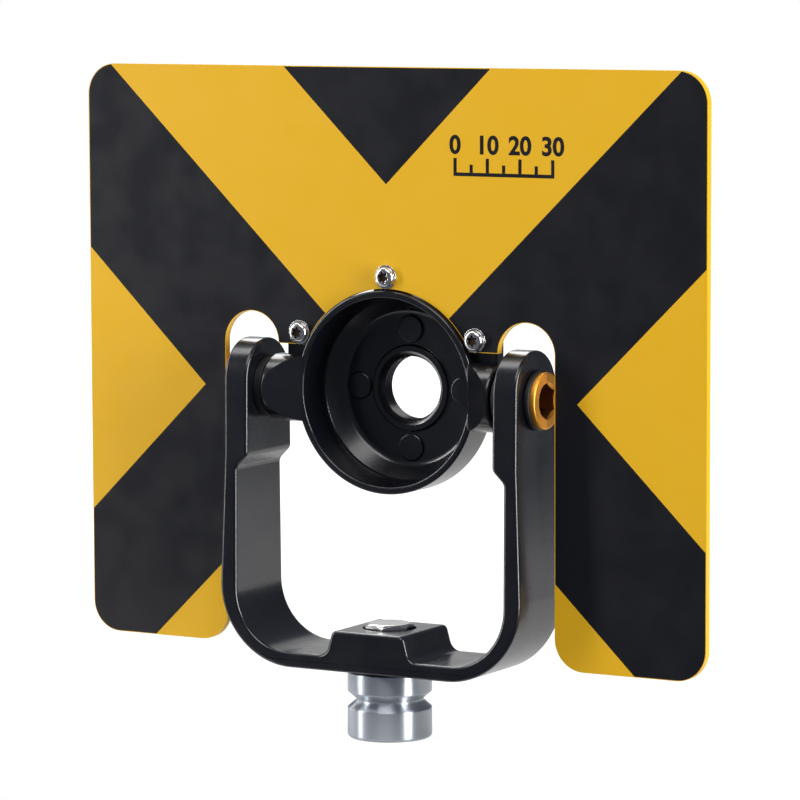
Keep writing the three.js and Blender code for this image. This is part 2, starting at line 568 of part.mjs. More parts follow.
function pivotScrew(name, side) {
  const { washer, head } = PIVOT_STACKS[name];
  const headStart = HEAD_WASHER_INNER_X + washer;
  const headEnd = headStart + head;
  const end = TRUNNION_END - PIVOT_THREAD_LENGTH;
  const body = turned([
    [0, end],
    [PIVOT_THREAD_RADIUS, end],
    [PIVOT_THREAD_RADIUS, TRUNNION_END],
    [PIVOT_SHOULDER_RADIUS, TRUNNION_END],
    [PIVOT_SHOULDER_RADIUS, headStart],
    [PIVOT_HEAD_RADIUS, headStart],
    [PIVOT_HEAD_RADIUS, headEnd - PIVOT_HEAD_CHAMFER],
    [PIVOT_HEAD_RADIUS - PIVOT_HEAD_CHAMFER, headEnd],
    [0, headEnd],
  ], 'x', DISH_PLACE);
  const socket = hexagonRod(
    PIVOT_SOCKET_ACROSS_FLATS, TRUNNION_END + PIVOT_SOCKET_FLOOR, headEnd + CUT_OVERRUN,
    'x', DISH_PLACE, PIVOT_SOCKET_TURN,
  );
  return onSide(body.subtract(socket), side);
}

function headWasher(name, side) {
  const end = HEAD_WASHER_INNER_X + PIVOT_STACKS[name].washer;
  return onSide(ring(HEAD_WASHER_RADIUS, BUSH_INNER, HEAD_WASHER_INNER_X, end, 'x', DISH_PLACE), side);
}

const pivotBush = (side) => onSide(
  ring(BUSH_OUTER, BUSH_INNER, ARM_INNER_HUB, ARM_OUTER_HALF_TOP, 'x', DISH_PLACE), side,
);

const thrustWasher = (side) => onSide(
  ring(THRUST_WASHER_RADIUS, BUSH_INNER, TRUNNION_END + RUNNING_GAP, ARM_INNER_HUB, 'x', DISH_PLACE), side,
);

// ---------------------------------------------------------------- assembly

const prismTarget = new THREE.Group();

const stand = new THREE.Group();
stand.add(piece('yoke', fork(), BLACK_PAINT));
stand.add(piece('base_adapter', baseAdapter(), TURNED_ALUMINIUM));
stand.add(piece('adapter_bolt', adapterBolt(), BRIGHT_STEEL));
stand.add(piece('adapter_bolt_washer', boltWasher(), BRIGHT_STEEL));
prismTarget.add(stand);

const tilting = new THREE.Group();
tilting.add(piece('prism_holder', prismHolder(), BLACK_PAINT));
tilting.add(piece('target_plate', targetPlate(), YELLOW_PAINT));
for (const screw of PLATE_SCREWS) {
  tilting.add(piece(`plate_screw_${screw.name}`, plateScrew(screw), BRIGHT_STEEL));
  tilting.add(piece(`lock_washer_${screw.name}`, lockWasher(screw), BRIGHT_STEEL));
}
prismTarget.add(tilting);

for (const [name, side] of SIDES) {
  stand.add(piece(`pivot_bush_${name}`, pivotBush(side), BUSH_BRONZE));
  stand.add(piece(`thrust_washer_${name}`, thrustWasher(side), BLACK_NYLON));
  tilting.add(piece(`pivot_screw_${name}`, pivotScrew(name, side), GOLD_ANODISED));
  tilting.add(piece(`head_washer_${name}`, headWasher(name, side), BLACK_NYLON));
}

export default prismTarget;
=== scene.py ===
# %% [markdown]
# # A tilting prism holder with its target plate
#
# Surveyors sight this yellow and black plate from far away. The plate and the round dish behind it
# tip together between the arms of a fork, and the fork stands on a pole by its aluminium stub.
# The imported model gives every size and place. Here each piece is built again with rounded edges,
# threads and turned grooves, in millimetres, and made metres when it is finished.

# %% Load the frame
import math

import bmesh
import bpy
from mathutils import Matrix, Vector


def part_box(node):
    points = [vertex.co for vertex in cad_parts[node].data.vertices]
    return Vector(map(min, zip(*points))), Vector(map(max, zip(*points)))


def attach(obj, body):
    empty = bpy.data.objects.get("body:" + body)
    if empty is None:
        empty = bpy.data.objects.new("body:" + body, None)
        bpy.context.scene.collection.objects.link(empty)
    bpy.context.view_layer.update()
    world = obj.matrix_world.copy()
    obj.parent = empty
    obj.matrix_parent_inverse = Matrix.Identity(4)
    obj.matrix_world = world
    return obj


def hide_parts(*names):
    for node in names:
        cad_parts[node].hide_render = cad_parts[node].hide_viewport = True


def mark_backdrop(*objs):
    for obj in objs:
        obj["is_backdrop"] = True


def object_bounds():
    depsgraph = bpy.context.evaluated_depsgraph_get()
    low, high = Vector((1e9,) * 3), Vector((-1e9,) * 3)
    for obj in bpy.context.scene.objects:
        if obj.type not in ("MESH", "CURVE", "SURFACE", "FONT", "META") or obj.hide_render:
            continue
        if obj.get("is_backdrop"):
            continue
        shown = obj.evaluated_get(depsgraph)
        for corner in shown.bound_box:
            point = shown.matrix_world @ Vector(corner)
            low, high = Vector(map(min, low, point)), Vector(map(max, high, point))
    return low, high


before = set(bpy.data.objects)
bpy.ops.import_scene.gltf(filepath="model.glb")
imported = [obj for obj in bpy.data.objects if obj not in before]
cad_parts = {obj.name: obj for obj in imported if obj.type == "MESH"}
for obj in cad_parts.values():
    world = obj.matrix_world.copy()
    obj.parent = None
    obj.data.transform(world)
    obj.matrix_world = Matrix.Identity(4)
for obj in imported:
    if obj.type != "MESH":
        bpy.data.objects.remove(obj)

MM = 0.001
cad_low, cad_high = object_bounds()
cad_size = tuple(round(v / MM, 1) for v in cad_high - cad_low)
print("frame holds", len(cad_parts), "nodes and is", cad_size, "mm")


# %% Read sizes from the frame
def span(node):
    """The lowest and highest corner of a node, in millimetres."""
    low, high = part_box(node)
    return low / MM, high / MM


plate_low, plate_high = span("target_plate")
yoke_low, yoke_high = span("yoke")
dish_high = span("prism_holder")[1]
stub_low, stub_high = span("base_adapter")
bush_low, bush_high = span("pivot_bush_right")
thrust_low, thrust_high = span("thrust_washer_right")
gold_low, gold_high = span("pivot_screw_right")
bolt_low, bolt_high = span("adapter_bolt")
bolt_washer_low, bolt_washer_high = span("adapter_bolt_washer")

PIVOT = Vector((0, 0, (gold_low.z + gold_high.z) / 2))
print("tilt axis at", round(PIVOT.z, 1), "mm")

# %% [markdown]
# ## Tools for making pieces
#
# Most pieces here were cut from sheet, cast in a mould or turned on a lathe. So two ways of
# making them are enough: draw a flat outline and pull it out, or draw half a section and spin it.
# Corners are rounded while the drawing is still flat, because a corner is easy to find there.

# %% Draw a flat outline
X_AXIS, Y_AXIS, Z_AXIS = Vector((1, 0, 0)), Vector((0, 1, 0)), Vector((0, 0, 1))


def draw(points, right, up, start=Vector(), rounds=()):
    """A flat face from (right, up) corners; rounds holds (corner number, radius) pairs."""
    bm = bmesh.new()
    corners = [bm.verts.new(start + right * a + up * b) for a, b in points]
    bm.faces.new(corners)
    for number, radius in rounds:
        corner = corners[number]
        before, after = [edge.other_vert(corner).co - corner.co for edge in corner.link_edges]
        bmesh.ops.bevel(
            bm, geom=[corner], offset=radius / math.tan(before.angle(after) / 2), offset_type="OFFSET",
            segments=3 + round(radius * 1.2), profile=0.5, affect="VERTICES", material=-1,
        )
    return bm


print("draw is ready")


# %% Pull an outline out, or spin it
def pull(bm, along):
    """Pulls a flat face out into a solid."""
    pulled = bmesh.ops.extrude_face_region(bm, geom=bm.faces[:])
    ends = [item for item in pulled["geom"] if isinstance(item, bmesh.types.BMVert)]
    bmesh.ops.translate(bm, vec=along, verts=ends)
    return bm


def spin(bm, axis, centre, steps=96):
    """Spins a flat face's outline right round an axis and leaves out the face itself."""
    bmesh.ops.delete(bm, geom=bm.faces[:], context="FACES_ONLY")
    bmesh.ops.spin(
        bm, geom=bm.verts[:] + bm.edges[:], cent=centre, axis=axis, dvec=(0, 0, 0),
        angle=2 * math.pi, steps=steps, use_merge=True,
    )
    return bm


print("pull and spin are ready")


# %% Turn a drawing into an object, and cut one object with another
def as_object(bm, name):
    """An object from a mesh under construction, with its faces pointing outwards."""
    bmesh.ops.remove_doubles(bm, verts=bm.verts, dist=0.0005)
    bmesh.ops.dissolve_degenerate(bm, edges=bm.edges, dist=0.0001)
    bmesh.ops.recalc_face_normals(bm, faces=bm.faces)
    mesh = bpy.data.meshes.new(name)
    bm.to_mesh(mesh)
    bm.free()
    made = bpy.data.objects.new(name, mesh)
    bpy.context.collection.objects.link(made)
    return made


def bake(made):
    """Makes an object's modifiers part of its mesh."""
    seen = made.evaluated_get(bpy.context.evaluated_depsgraph_get())
    mesh = bpy.data.meshes.new_from_object(seen)
    made.modifiers.clear()
    made.data = mesh
    return made


def combine(target, tool, operation):
    """Joins ("UNION"), cuts ("DIFFERENCE") or trims ("INTERSECT") target with tool, and removes tool."""
    step = target.modifiers.new("combine", "BOOLEAN")
    step.operation = operation
    step.solver = "EXACT"
    step.object = tool
    bake(target)
    bpy.data.objects.remove(tool)
    return target


def heal(made, nearer_than=0.15):
    """Merges points that a cut left close together and the flat faces between them."""
    bm = bmesh.new()
    bm.from_mesh(made.data)
    bmesh.ops.remove_doubles(bm, verts=bm.verts, dist=nearer_than)
    bmesh.ops.dissolve_limit(bm, angle_limit=math.radians(0.3), verts=bm.verts, edges=bm.edges)
    bm.to_mesh(made.data)
    bm.free()
    return made


def clean(made, nearer_than=0.002):
    """Merges points that lie together and closes a gap that a cut left."""
    bm = bmesh.new()
    bm.from_mesh(made.data)
    bmesh.ops.remove_doubles(bm, verts=bm.verts, dist=nearer_than)
    bmesh.ops.dissolve_degenerate(bm, edges=bm.edges, dist=nearer_than / 4)
    rims = [edge for edge in bm.edges if edge.is_boundary]
    bmesh.ops.holes_fill(bm, edges=rims, sides=0)
    bm.to_mesh(made.data)
    bm.free()
    return made


def soften(made, width, segments=3, angle=35, clamp=True):
    """Rounds every edge that turns more than angle degrees."""
    step = made.modifiers.new("soften", "BEVEL")
    step.width = width
    step.segments = segments
    step.limit_method = "ANGLE"
    step.angle_limit = math.radians(angle)
    step.use_clamp_overlap = clamp
    return clean(bake(made))


print("combine and soften are ready")


# %% Rods and rings, used for pins, holes and washers
def rod(radius, start, end, axis, through=Vector(), steps=96):
    """A round bar along an axis from one station to another, on a line through a point."""
    side = Z_AXIS if axis != Z_AXIS else X_AXIS
    section = draw([(0, start), (radius, start), (radius, end), (0, end)], side, axis, through)
    return as_object(spin(section, axis, through, steps), "rod")


def ring(name, outer, inner, start, end, axis, through=Vector(), edge=0.1, steps=96):
    """A washer or bush with softened edges."""
    side = Z_AXIS if axis != Z_AXIS else X_AXIS
    section = draw(
        [(inner, start), (outer, start), (outer, end), (inner, end)], side, axis, through,
        rounds=[(0, edge), (1, edge), (2, edge), (3, edge)],
    )
    return as_object(spin(section, axis, through, steps), name)


print("rod and ring are ready")


# %% Finish a piece
def place(made, body, nodes, slot, *materials, smooth=40):
    """Makes a piece metres, smooths it, gives it its finishes and puts it on its body."""
    made.data.transform(Matrix.Scale(MM, 4))
    made.data.shade_smooth()
    made.data.set_sharp_from_angle(angle=math.radians(smooth))
    step = made.modifiers.new("even", "WEIGHTED_NORMAL")
    step.keep_sharp = True
    step.weight = 100
    bake(made)
    made.data.materials.clear()
    for material in materials:
        made.data.materials.append(material)
    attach(made, body)
    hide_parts(*nodes)
    made.data.calc_loop_triangles()
    print(made.name, "has", len(made.data.loop_triangles), "triangles")
    return made


YOKE_BODY = "yoke"
TILTING_BODY = "tilting_target"

# %% [markdown]
# ## Finishes
#
# Paint, plating and turned metal look different mostly in their roughness and in how small waves
# bend their reflections. One group makes the slight waviness of sprayed or moulded surfaces, and
# another makes fine lines round an axis, as a lathe leaves them. Each finish uses its own values.


# %% Colours as they are seen
def seen(red, green, blue):
    """A colour in 0 to 255, made linear for a shader."""
    parts = [value / 255 for value in (red, green, blue)]
    linear = [v / 12.92 if v <= 0.04045 else ((v + 0.055) / 1.055) ** 2.4 for v in parts]
    return (*linear, 1)


print("white is", seen(255, 255, 255))


# %% A group for orange peel and mottling
def new_group(name, inputs, outputs):
    """A shader node group with number or colour sockets, and its input and output nodes."""
    group = bpy.data.node_groups.new(name, "ShaderNodeTree")
    for socket, kind, value in inputs:
        made = group.interface.new_socket(name=socket, in_out="INPUT", socket_type=kind)
        made.default_value = value
    for socket, kind in outputs:
        group.interface.new_socket(name=socket, in_out="OUTPUT", socket_type=kind)
    return group, group.nodes.new("NodeGroupInput"), group.nodes.new("NodeGroupOutput")


def spot(nodes, kind, **settings):
    """A new node with its settings made."""
    node = nodes.new(kind)
    for key, value in settings.items():
        setattr(node, key, value)
    return node


peel, peel_in, peel_out = new_group(
    "Orange peel",
    [("Waves per metre", "NodeSocketFloat", 700.0), ("Rough low", "NodeSocketFloat", 0.3),
     ("Rough high", "NodeSocketFloat", 0.4)],
    [("Height", "NodeSocketFloat"), ("Roughness", "NodeSocketFloat")],
)
peel_place = spot(peel.nodes, "ShaderNodeTexCoord")
peel_noise = spot(peel.nodes, "ShaderNodeTexNoise")
peel_noise.inputs["Detail"].default_value = 2
peel_blotch = spot(peel.nodes, "ShaderNodeTexNoise")
peel_blotch.inputs["Scale"].default_value = 90
peel_range = spot(peel.nodes, "ShaderNodeMapRange")
peel_range.inputs["From Min"].default_value = 0.35
peel_range.inputs["From Max"].default_value = 0.65
peel.links.new(peel_place.outputs["Object"], peel_noise.inputs["Vector"])
peel.links.new(peel_place.outputs["Object"], peel_blotch.inputs["Vector"])
peel.links.new(peel_in.outputs["Waves per metre"], peel_noise.inputs["Scale"])
peel.links.new(peel_noise.outputs["Fac"], peel_out.inputs["Height"])
peel.links.new(peel_blotch.outputs["Fac"], peel_range.inputs["Value"])
peel.links.new(peel_in.outputs["Rough low"], peel_range.inputs["To Min"])
peel.links.new(peel_in.outputs["Rough high"], peel_range.inputs["To Max"])
peel.links.new(peel_range.outputs["Result"], peel_out.inputs["Roughness"])
print("group", peel.name, "has", len(peel.nodes), "nodes")

# %% A group for lathe lines
turning, turning_in, turning_out = new_group(
    "Lathe lines",
    [("Lines per metre", "NodeSocketFloat", 4000.0), ("Rough low", "NodeSocketFloat", 0.2),
     ("Rough high", "NodeSocketFloat", 0.35)],
    [("Height", "NodeSocketFloat"), ("Roughness", "NodeSocketFloat")],
)
turning_place = spot(turning.nodes, "ShaderNodeTexCoord")
turning_split = spot(turning.nodes, "ShaderNodeSeparateXYZ")
turning_radius = spot(turning.nodes, "ShaderNodeVectorMath", operation="LENGTH")
turning_flat = spot(turning.nodes, "ShaderNodeCombineXYZ")
turning_sum = spot(turning.nodes, "ShaderNodeMath", operation="ADD")
turning_scaled = spot(turning.nodes, "ShaderNodeMath", operation="MULTIPLY")
turning_noise = spot(turning.nodes, "ShaderNodeTexNoise", noise_dimensions="1D")
turning_noise.inputs["Scale"].default_value = 1
turning_noise.inputs["Detail"].default_value = 3
turning_range = spot(turning.nodes, "ShaderNodeMapRange")
turning_range.inputs["From Min"].default_value = 0.3
turning_range.inputs["From Max"].default_value = 0.7
turning.links.new(turning_place.outputs["Object"], turning_split.inputs["Vector"])
turning.links.new(turning_split.outputs["X"], turning_flat.inputs["X"])
turning.links.new(turning_split.outputs["Y"], turning_flat.inputs["Y"])
turning.links.new(turning_flat.outputs["Vector"], turning_radius.inputs[0])
turning.links.new(turning_radius.outputs["Value"], turning_sum.inputs[0])
turning.links.new(turning_split.outputs["Z"], turning_sum.inputs[1])
turning.links.new(turning_sum.outputs["Value"], turning_scaled.inputs[0])
turning.links.new(turning_in.outputs["Lines per metre"], turning_scaled.inputs[1])
turning.links.new(turning_scaled.outputs["Value"], turning_noise.inputs["W"])
turning.links.new(turning_noise.outputs["Fac"], turning_out.inputs["Height"])
turning.links.new(turning_noise.outputs["Fac"], turning_range.inputs["Value"])
turning.links.new(turning_in.outputs["Rough low"], turning_range.inputs["To Min"])
turning.links.new(turning_in.outputs["Rough high"], turning_range.inputs["To Max"])
turning.links.new(turning_range.outputs["Result"], turning_out.inputs["Roughness"])
print("group", turning.name, "has", len(turning.nodes), "nodes")


# %% A finish from a group
def finish(name, colour, metallic, group, values, bump, depth, specular=0.5):
    """A material whose roughness and waviness come from one of the groups."""
    material = bpy.data.materials.new(name)
    material.use_nodes = True
    nodes, links = material.node_tree.nodes, material.node_tree.links
    shader = nodes["Principled BSDF"]
    shader.inputs["Base Color"].default_value = colour
    shader.inputs["Metallic"].default_value = metallic
    shader.inputs["Specular IOR Level"].default_value = specular
    texture = spot(nodes, "ShaderNodeGroup", node_tree=group)
    for socket, value in values.items():
        texture.inputs[socket].default_value = value
    waves = spot(nodes, "ShaderNodeBump")
    waves.inputs["Strength"].default_value = bump
    waves.inputs["Distance"].default_value = depth
    links.new(texture.outputs["Height"], waves.inputs["Height"])
    links.new(waves.outputs["Normal"], shader.inputs["Normal"])
    links.new(texture.outputs["Roughness"], shader.inputs["Roughness"])
    print("finish", name)
    return material


def peel_values(waves, low, high):
    """Values for a sprayed or moulded surface."""
    return {"Waves per metre": waves, "Rough low": low, "Rough high": high}


def lathe_values(lines, low, high):
    """Values for a turned surface."""
    return {"Lines per metre": lines, "Rough low": low, "Rough high": high}


PAINT, METAL = 0, 1
cast_black = finish(
    "black_powder_coat", seen(12, 13, 19), PAINT, peel, peel_values(1300, 0.22, 0.28),
    bump=0.35, depth=0.00004,
)
plate_yellow = finish(
    "yellow_paint", seen(234, 180, 26), PAINT, peel, peel_values(900, 0.34, 0.4),
    bump=0.3, depth=0.00003, specular=0.4,
)
plate_black = finish(
    "black_print", seen(16, 16, 22), PAINT, peel, peel_values(900, 0.3, 0.37),
    bump=0.3, depth=0.00003, specular=0.4,
)
nickel = finish(
    "bright_nickel", seen(222, 220, 217), METAL, peel, peel_values(2500, 0.14, 0.24),
    bump=0.15, depth=0.00001,
)
turned_metal = finish(
    "turned_aluminium", seen(176, 181, 188), METAL, turning, lathe_values(9000, 0.3, 0.42),
    bump=0.3, depth=0.00001,
)
gold = finish(
    "gold_anodised", seen(238, 170, 70), METAL, peel, peel_values(3000, 0.46, 0.56),
    bump=0.1, depth=0.00001,
)
# A darker, duller nickel: painted shade inside the screw recesses.
nickel_painted_shade = finish(
    "nickel_painted_recess_shade", seen(126, 106, 92), METAL, peel, peel_values(2500, 0.4, 0.6),
    bump=0.3, depth=0.00002,
)
# A darker gold: painted shade inside the pivot sockets.
gold_painted_shade = finish(
    "gold_painted_socket_shade", seen(160, 116, 70), METAL, peel, peel_values(3000, 0.4, 0.5),
    bump=0.1, depth=0.00001,
)
nylon = finish(
    "black_nylon", seen(18, 18, 21), PAINT, peel, peel_values(2500, 0.45, 0.6),
    bump=0.2, depth=0.00001,
)
bronze = finish(
    "bush_bronze", seen(176, 132, 80), METAL, peel, peel_values(2500, 0.3, 0.4),
    bump=0.1, depth=0.00001,
)

# %% [markdown]
# Two finishes need one thing more. Powder coat has a thin clear skin over its colour. A lathe's
# lines stretch every highlight across themselves, and a quarter turn makes it run up the stub.

# %% Add the clear skin and the stretched highlights
for material, socket, value in (
    (cast_black, "Coat Weight", 0.25),
    (cast_black, "Coat Roughness", 0.15),
    (turned_metal, "Anisotropic", 0.9),
    (turned_metal, "Anisotropic Rotation", 0.25),
):
    material.node_tree.nodes["Principled BSDF"].inputs[socket].default_value = value
    print(material.name, socket, value)

# %% [markdown]
# ## Target plate
#
# The plate is 2 mm sheet, painted yellow all over and printed black on the front. The fork needs
# room to stand in it, so it has a deep cut-out from below with a round relief above each arm and a
# notch for the dish. The print stops just short of every edge. It could be a pattern in the
# material, but its straight boundaries are sharper when the front is cut along them, so the front
# is inset by the width of the bare margin and cut, and each part gets the yellow or the black.

# %% Cut the sheet
PLATE_CORNER = 8
LOBE_RADIUS = 8
TONGUE_BOTTOM = PIVOT.z + 11.3
DISH_RADIUS = 26
DISH_CLEARANCE = 0.4
NOTCH_RADIUS = DISH_RADIUS + DISH_CLEARANCE
ARM_FOOT_HALF = yoke_high.x
ARM_CLEARANCE = 4.3
CUTOUT_HALF = ARM_FOOT_HALF + ARM_CLEARANCE
LOBE_CENTRE = CUTOUT_HALF - LOBE_RADIUS
NOTCH_STEPS = 180

sheet_outline = [
    (plate_low.x, plate_low.z), (-CUTOUT_HALF, plate_low.z), (-CUTOUT_HALF, TONGUE_BOTTOM),
    (CUTOUT_HALF, TONGUE_BOTTOM), (CUTOUT_HALF, plate_low.z), (plate_high.x, plate_low.z),
    (plate_high.x, plate_high.z), (plate_low.x, plate_high.z),
]
sheet_rounds = [(number, PLATE_CORNER) for number in (0, 1, 4, 5, 6, 7)]
sheet_drawing = draw(sheet_outline, X_AXIS, Z_AXIS, Y_AXIS * plate_low.y, sheet_rounds)
sheet = as_object(pull(sheet_drawing, Y_AXIS * (plate_high.y - plate_low.y)), "target_plate_sheet")
for side in (-1, 1):
    lobe_at = Vector((side * LOBE_CENTRE, 0, TONGUE_BOTTOM))
    lobe = rod(LOBE_RADIUS, plate_low.y - 1, plate_high.y + 1, Y_AXIS, lobe_at)
    combine(sheet, lobe, "DIFFERENCE")
notch = rod(NOTCH_RADIUS, plate_low.y - 1, plate_high.y + 1, Y_AXIS, PIVOT, NOTCH_STEPS)
combine(sheet, notch, "DIFFERENCE")
print("sheet has", len(sheet.data.polygons), "faces")

# %% Print the front
SHEET_EDGE = 0.22
PRINT_MARGIN = 0.4
TOP_EDGE = plate_high.z - 0.6
TRIANGLE_BASE_HALF = 29.6
TRIANGLE_TIP = TOP_EDGE - 29
BAND_START = Vector((18.8, PIVOT.z + 20.25))
BAND_END = Vector((82.45, TOP_EDGE))
SIDE_TIP = Vector((54.4, PIVOT.z - 0.4))
SIDE_BASE_HALF = 34.9
FOOT_START = Vector((49, 42))
FOOT_END = Vector((70.6, plate_low.z))


def height_over(start, end, x):
    """The height at x of the straight line through two points."""
    return start.y + (end.y - start.y) * (x - start.x) / (end.x - start.x)


def is_yellow(x, z):
    """True where the front stays yellow."""
    away = abs(x)
    in_top_triangle = z > height_over(
        Vector((0, TRIANGLE_TIP)), Vector((TRIANGLE_BASE_HALF, TOP_EDGE)), away,
    )
    over_band = z > height_over(BAND_START, BAND_END, away)
    side_reach = (away - SIDE_TIP.x) * SIDE_BASE_HALF / (plate_high.x - SIDE_TIP.x)
    in_side_triangle = abs(z - SIDE_TIP.y) < side_reach
    in_foot = z < height_over(FOOT_START, FOOT_END, away)
    return (over_band and not in_top_triangle) or in_side_triangle or in_foot


side_edge = Vector((plate_high.x, SIDE_TIP.y + SIDE_BASE_HALF))
print_lines = [
    (Vector((0, TRIANGLE_TIP)), Vector((TRIANGLE_BASE_HALF, TOP_EDGE))),
    (BAND_START, BAND_END),
    (SIDE_TIP, side_edge),
    (SIDE_TIP, Vector((side_edge.x, 2 * SIDE_TIP.y - side_edge.y))),
    (FOOT_START, FOOT_END),
]

soften(sheet, SHEET_EDGE, segments=2, angle=50)
plate_mesh = bmesh.new()
plate_mesh.from_mesh(sheet.data)
facing_front = [face for face in plate_mesh.faces if face.normal.y < -0.99]
front = max(facing_front, key=lambda face: face.calc_area())
bmesh.ops.inset_individual(
    plate_mesh, faces=[front], thickness=PRINT_MARGIN - SHEET_EDGE, use_even_offset=True,
)
printed = [front]
for start, end in print_lines:
    for side in (-1, 1):
        slope = Vector((side * (end.x - start.x), 0, end.y - start.y))
        edges = list({edge for face in printed for edge in face.edges})
        cut = bmesh.ops.bisect_plane(
            plate_mesh, geom=printed + edges, dist=0.0001,
            plane_co=(side * start.x, plate_low.y, start.y), plane_no=slope.cross(Y_AXIS),
        )
        printed = list({item for item in cut["geom"] if isinstance(item, bmesh.types.BMFace)})
for face in printed:
    middle = face.calc_center_median_weighted()
    face.material_index = 0 if is_yellow(middle.x, middle.z) else 1
plate_mesh.to_mesh(sheet.data)
plate_mesh.free()
print("front is cut into", len(printed), "parts")
PRINT_SHARES = [polygon.material_index for polygon in sheet.data.polygons]
print(sum(PRINT_SHARES), "parts are black")

# %% Put the plate on the holder
place(sheet, TILTING_BODY, ["target_plate"], "yellow_paint", plate_yellow, plate_black)
for polygon, share in zip(sheet.data.polygons, PRINT_SHARES):
    polygon.material_index = share

# %% [markdown]
# The plate also carries a small scale at its upper right, black on the yellow: a base line, ticks
# and plain numbers. It is a film of print, so it stands only two hundredths of a millimetre proud.

# %% Print the scale
SCALE_LEFT = Vector((20, plate_low.y, PIVOT.z + 55.5))
SCALE_STEP = 9.2
FILM = 0.02
LINE = 0.9
LONG_TICK, SHORT_TICK = 3.6, 2
NUMBER_FOOT, NUMBER_SIZE = 5.7, 6.4
NUMBER_WEIGHT = 0.03


def film(name, right, up, width, height):
    """A printed rectangle, placed by its lower left corner from the scale's left end."""
    corners = [
        (right, up), (right + width, up), (right + width, up + height), (right, up + height),
    ]
    drawing = draw(corners, X_AXIS, Z_AXIS, SCALE_LEFT - Y_AXIS * FILM)
    return as_object(pull(drawing, Y_AXIS * FILM), name)


def number(text, right, up, size):
    """A printed number, centred on a place to the right of the scale's left end."""
    curve = bpy.data.curves.new("number", "FONT")
    curve.body, curve.size, curve.align_x = text, size, "CENTER"
    curve.offset = NUMBER_WEIGHT * size
    curve.extrude = FILM / 2
    holder = bpy.data.objects.new("number", curve)
    bpy.context.collection.objects.link(holder)
    outline = holder.evaluated_get(bpy.context.evaluated_depsgraph_get())
    mesh = bpy.data.meshes.new_from_object(outline)
    bpy.data.objects.remove(holder)
    at = Matrix.Translation(SCALE_LEFT + Vector((right, -FILM / 2, up)))
    mesh.transform(at @ Matrix.Rotation(math.pi / 2, 4, "X"))
    made = bpy.data.objects.new("number", mesh)
    bpy.context.collection.objects.link(made)
    return made


marks = [film("base_line", -LINE / 2, 0, 3 * SCALE_STEP + LINE, LINE)]
for i in range(7):
    tick_height = LONG_TICK if i % 2 == 0 else SHORT_TICK
    marks.append(film("tick", i * SCALE_STEP / 2 - LINE / 2, LINE + FILM, LINE, tick_height))
marks += [number(str(10 * i), i * SCALE_STEP, NUMBER_FOOT, NUMBER_SIZE) for i in range(4)]
joined = bmesh.new()
for mark in marks:
    joined.from_mesh(mark.data)
    bpy.data.objects.remove(mark)
scale_print = as_object(joined, "number_scale")
place(scale_print, TILTING_BODY, ["target_plate"], "black_paint", plate_black)

# %% [markdown]
# ## Yoke
#
# The fork is a casting: a U with a thick hub at the top of each arm, half-round seen from the side,
# and a boss in the middle of the bridge with a round recess for the bolt. It is drawn from the
# front, pulled out to its depth and trimmed to its side view. Its edges are rounded before the
# holes are bored, because bored holes in a casting stay sharp.

# %% Cast the fork
ARM_OUTER_TOP = bush_high.x
ARM_INNER_TOP = bush_low.x
ARM_FOOT_THICKNESS = 4.8
ARM_INNER_FOOT = ARM_FOOT_HALF - ARM_FOOT_THICKNESS
STEP_TOP = PIVOT.z - 17
STEP_FOOT = STEP_TOP - 3.2
BRIDGE_BOTTOM = yoke_low.z + 0.5
BRIDGE_TOP = BRIDGE_BOTTOM + 4
BOSS_TOP = BRIDGE_TOP + 6.5
BOSS_TOP_HALF, BOSS_FOOT_HALF = 10.4, 12.2
CAST_EDGE = 0.9
fork_half = [
    (ARM_OUTER_TOP, yoke_high.z), (ARM_OUTER_TOP, STEP_TOP), (ARM_FOOT_HALF, BRIDGE_BOTTOM + 21),
    (ARM_FOOT_HALF, BRIDGE_BOTTOM),
]
fork_inner_half = [
    (BOSS_TOP_HALF, BOSS_TOP), (BOSS_FOOT_HALF, BRIDGE_TOP), (ARM_INNER_FOOT, BRIDGE_TOP),
    (ARM_INNER_FOOT, STEP_FOOT), (ARM_INNER_TOP, STEP_TOP), (ARM_INNER_TOP, yoke_high.z),
]
fork_right = fork_inner_half + fork_half
fork_left = [(-x, z) for x, z in reversed(fork_right)]
fork_rounds = [(0, 1.5), (1, 3), (2, 15.4), (3, 2), (4, 2), (7, 2), (8, 6), (9, 21)]
last = len(fork_right) + len(fork_left) - 1
fork_rounds += [(last - number, radius) for number, radius in fork_rounds]
fork_drawing = draw(fork_right + fork_left, X_AXIS, Z_AXIS, Y_AXIS * yoke_low.y, fork_rounds)
fork = as_object(pull(fork_drawing, Y_AXIS * (yoke_high.y - yoke_low.y)), "yoke_casting")
TOP_HALF_DEPTH = 10.8
side_view = draw(
    [(yoke_low.y - 0.02, BRIDGE_BOTTOM - 1), (yoke_high.y + 0.02, BRIDGE_BOTTOM - 1),
     (TOP_HALF_DEPTH, yoke_high.z), (-TOP_HALF_DEPTH, yoke_high.z)],
    Y_AXIS, Z_AXIS, X_AXIS * -60, rounds=[(2, TOP_HALF_DEPTH - 0.2), (3, TOP_HALF_DEPTH - 0.2)],
)
combine(fork, as_object(pull(side_view, X_AXIS * 120), "side_view"), "INTERSECT")
soften(heal(fork), CAST_EDGE, segments=4, clamp=False)
print("fork has", len(fork.data.polygons), "faces")

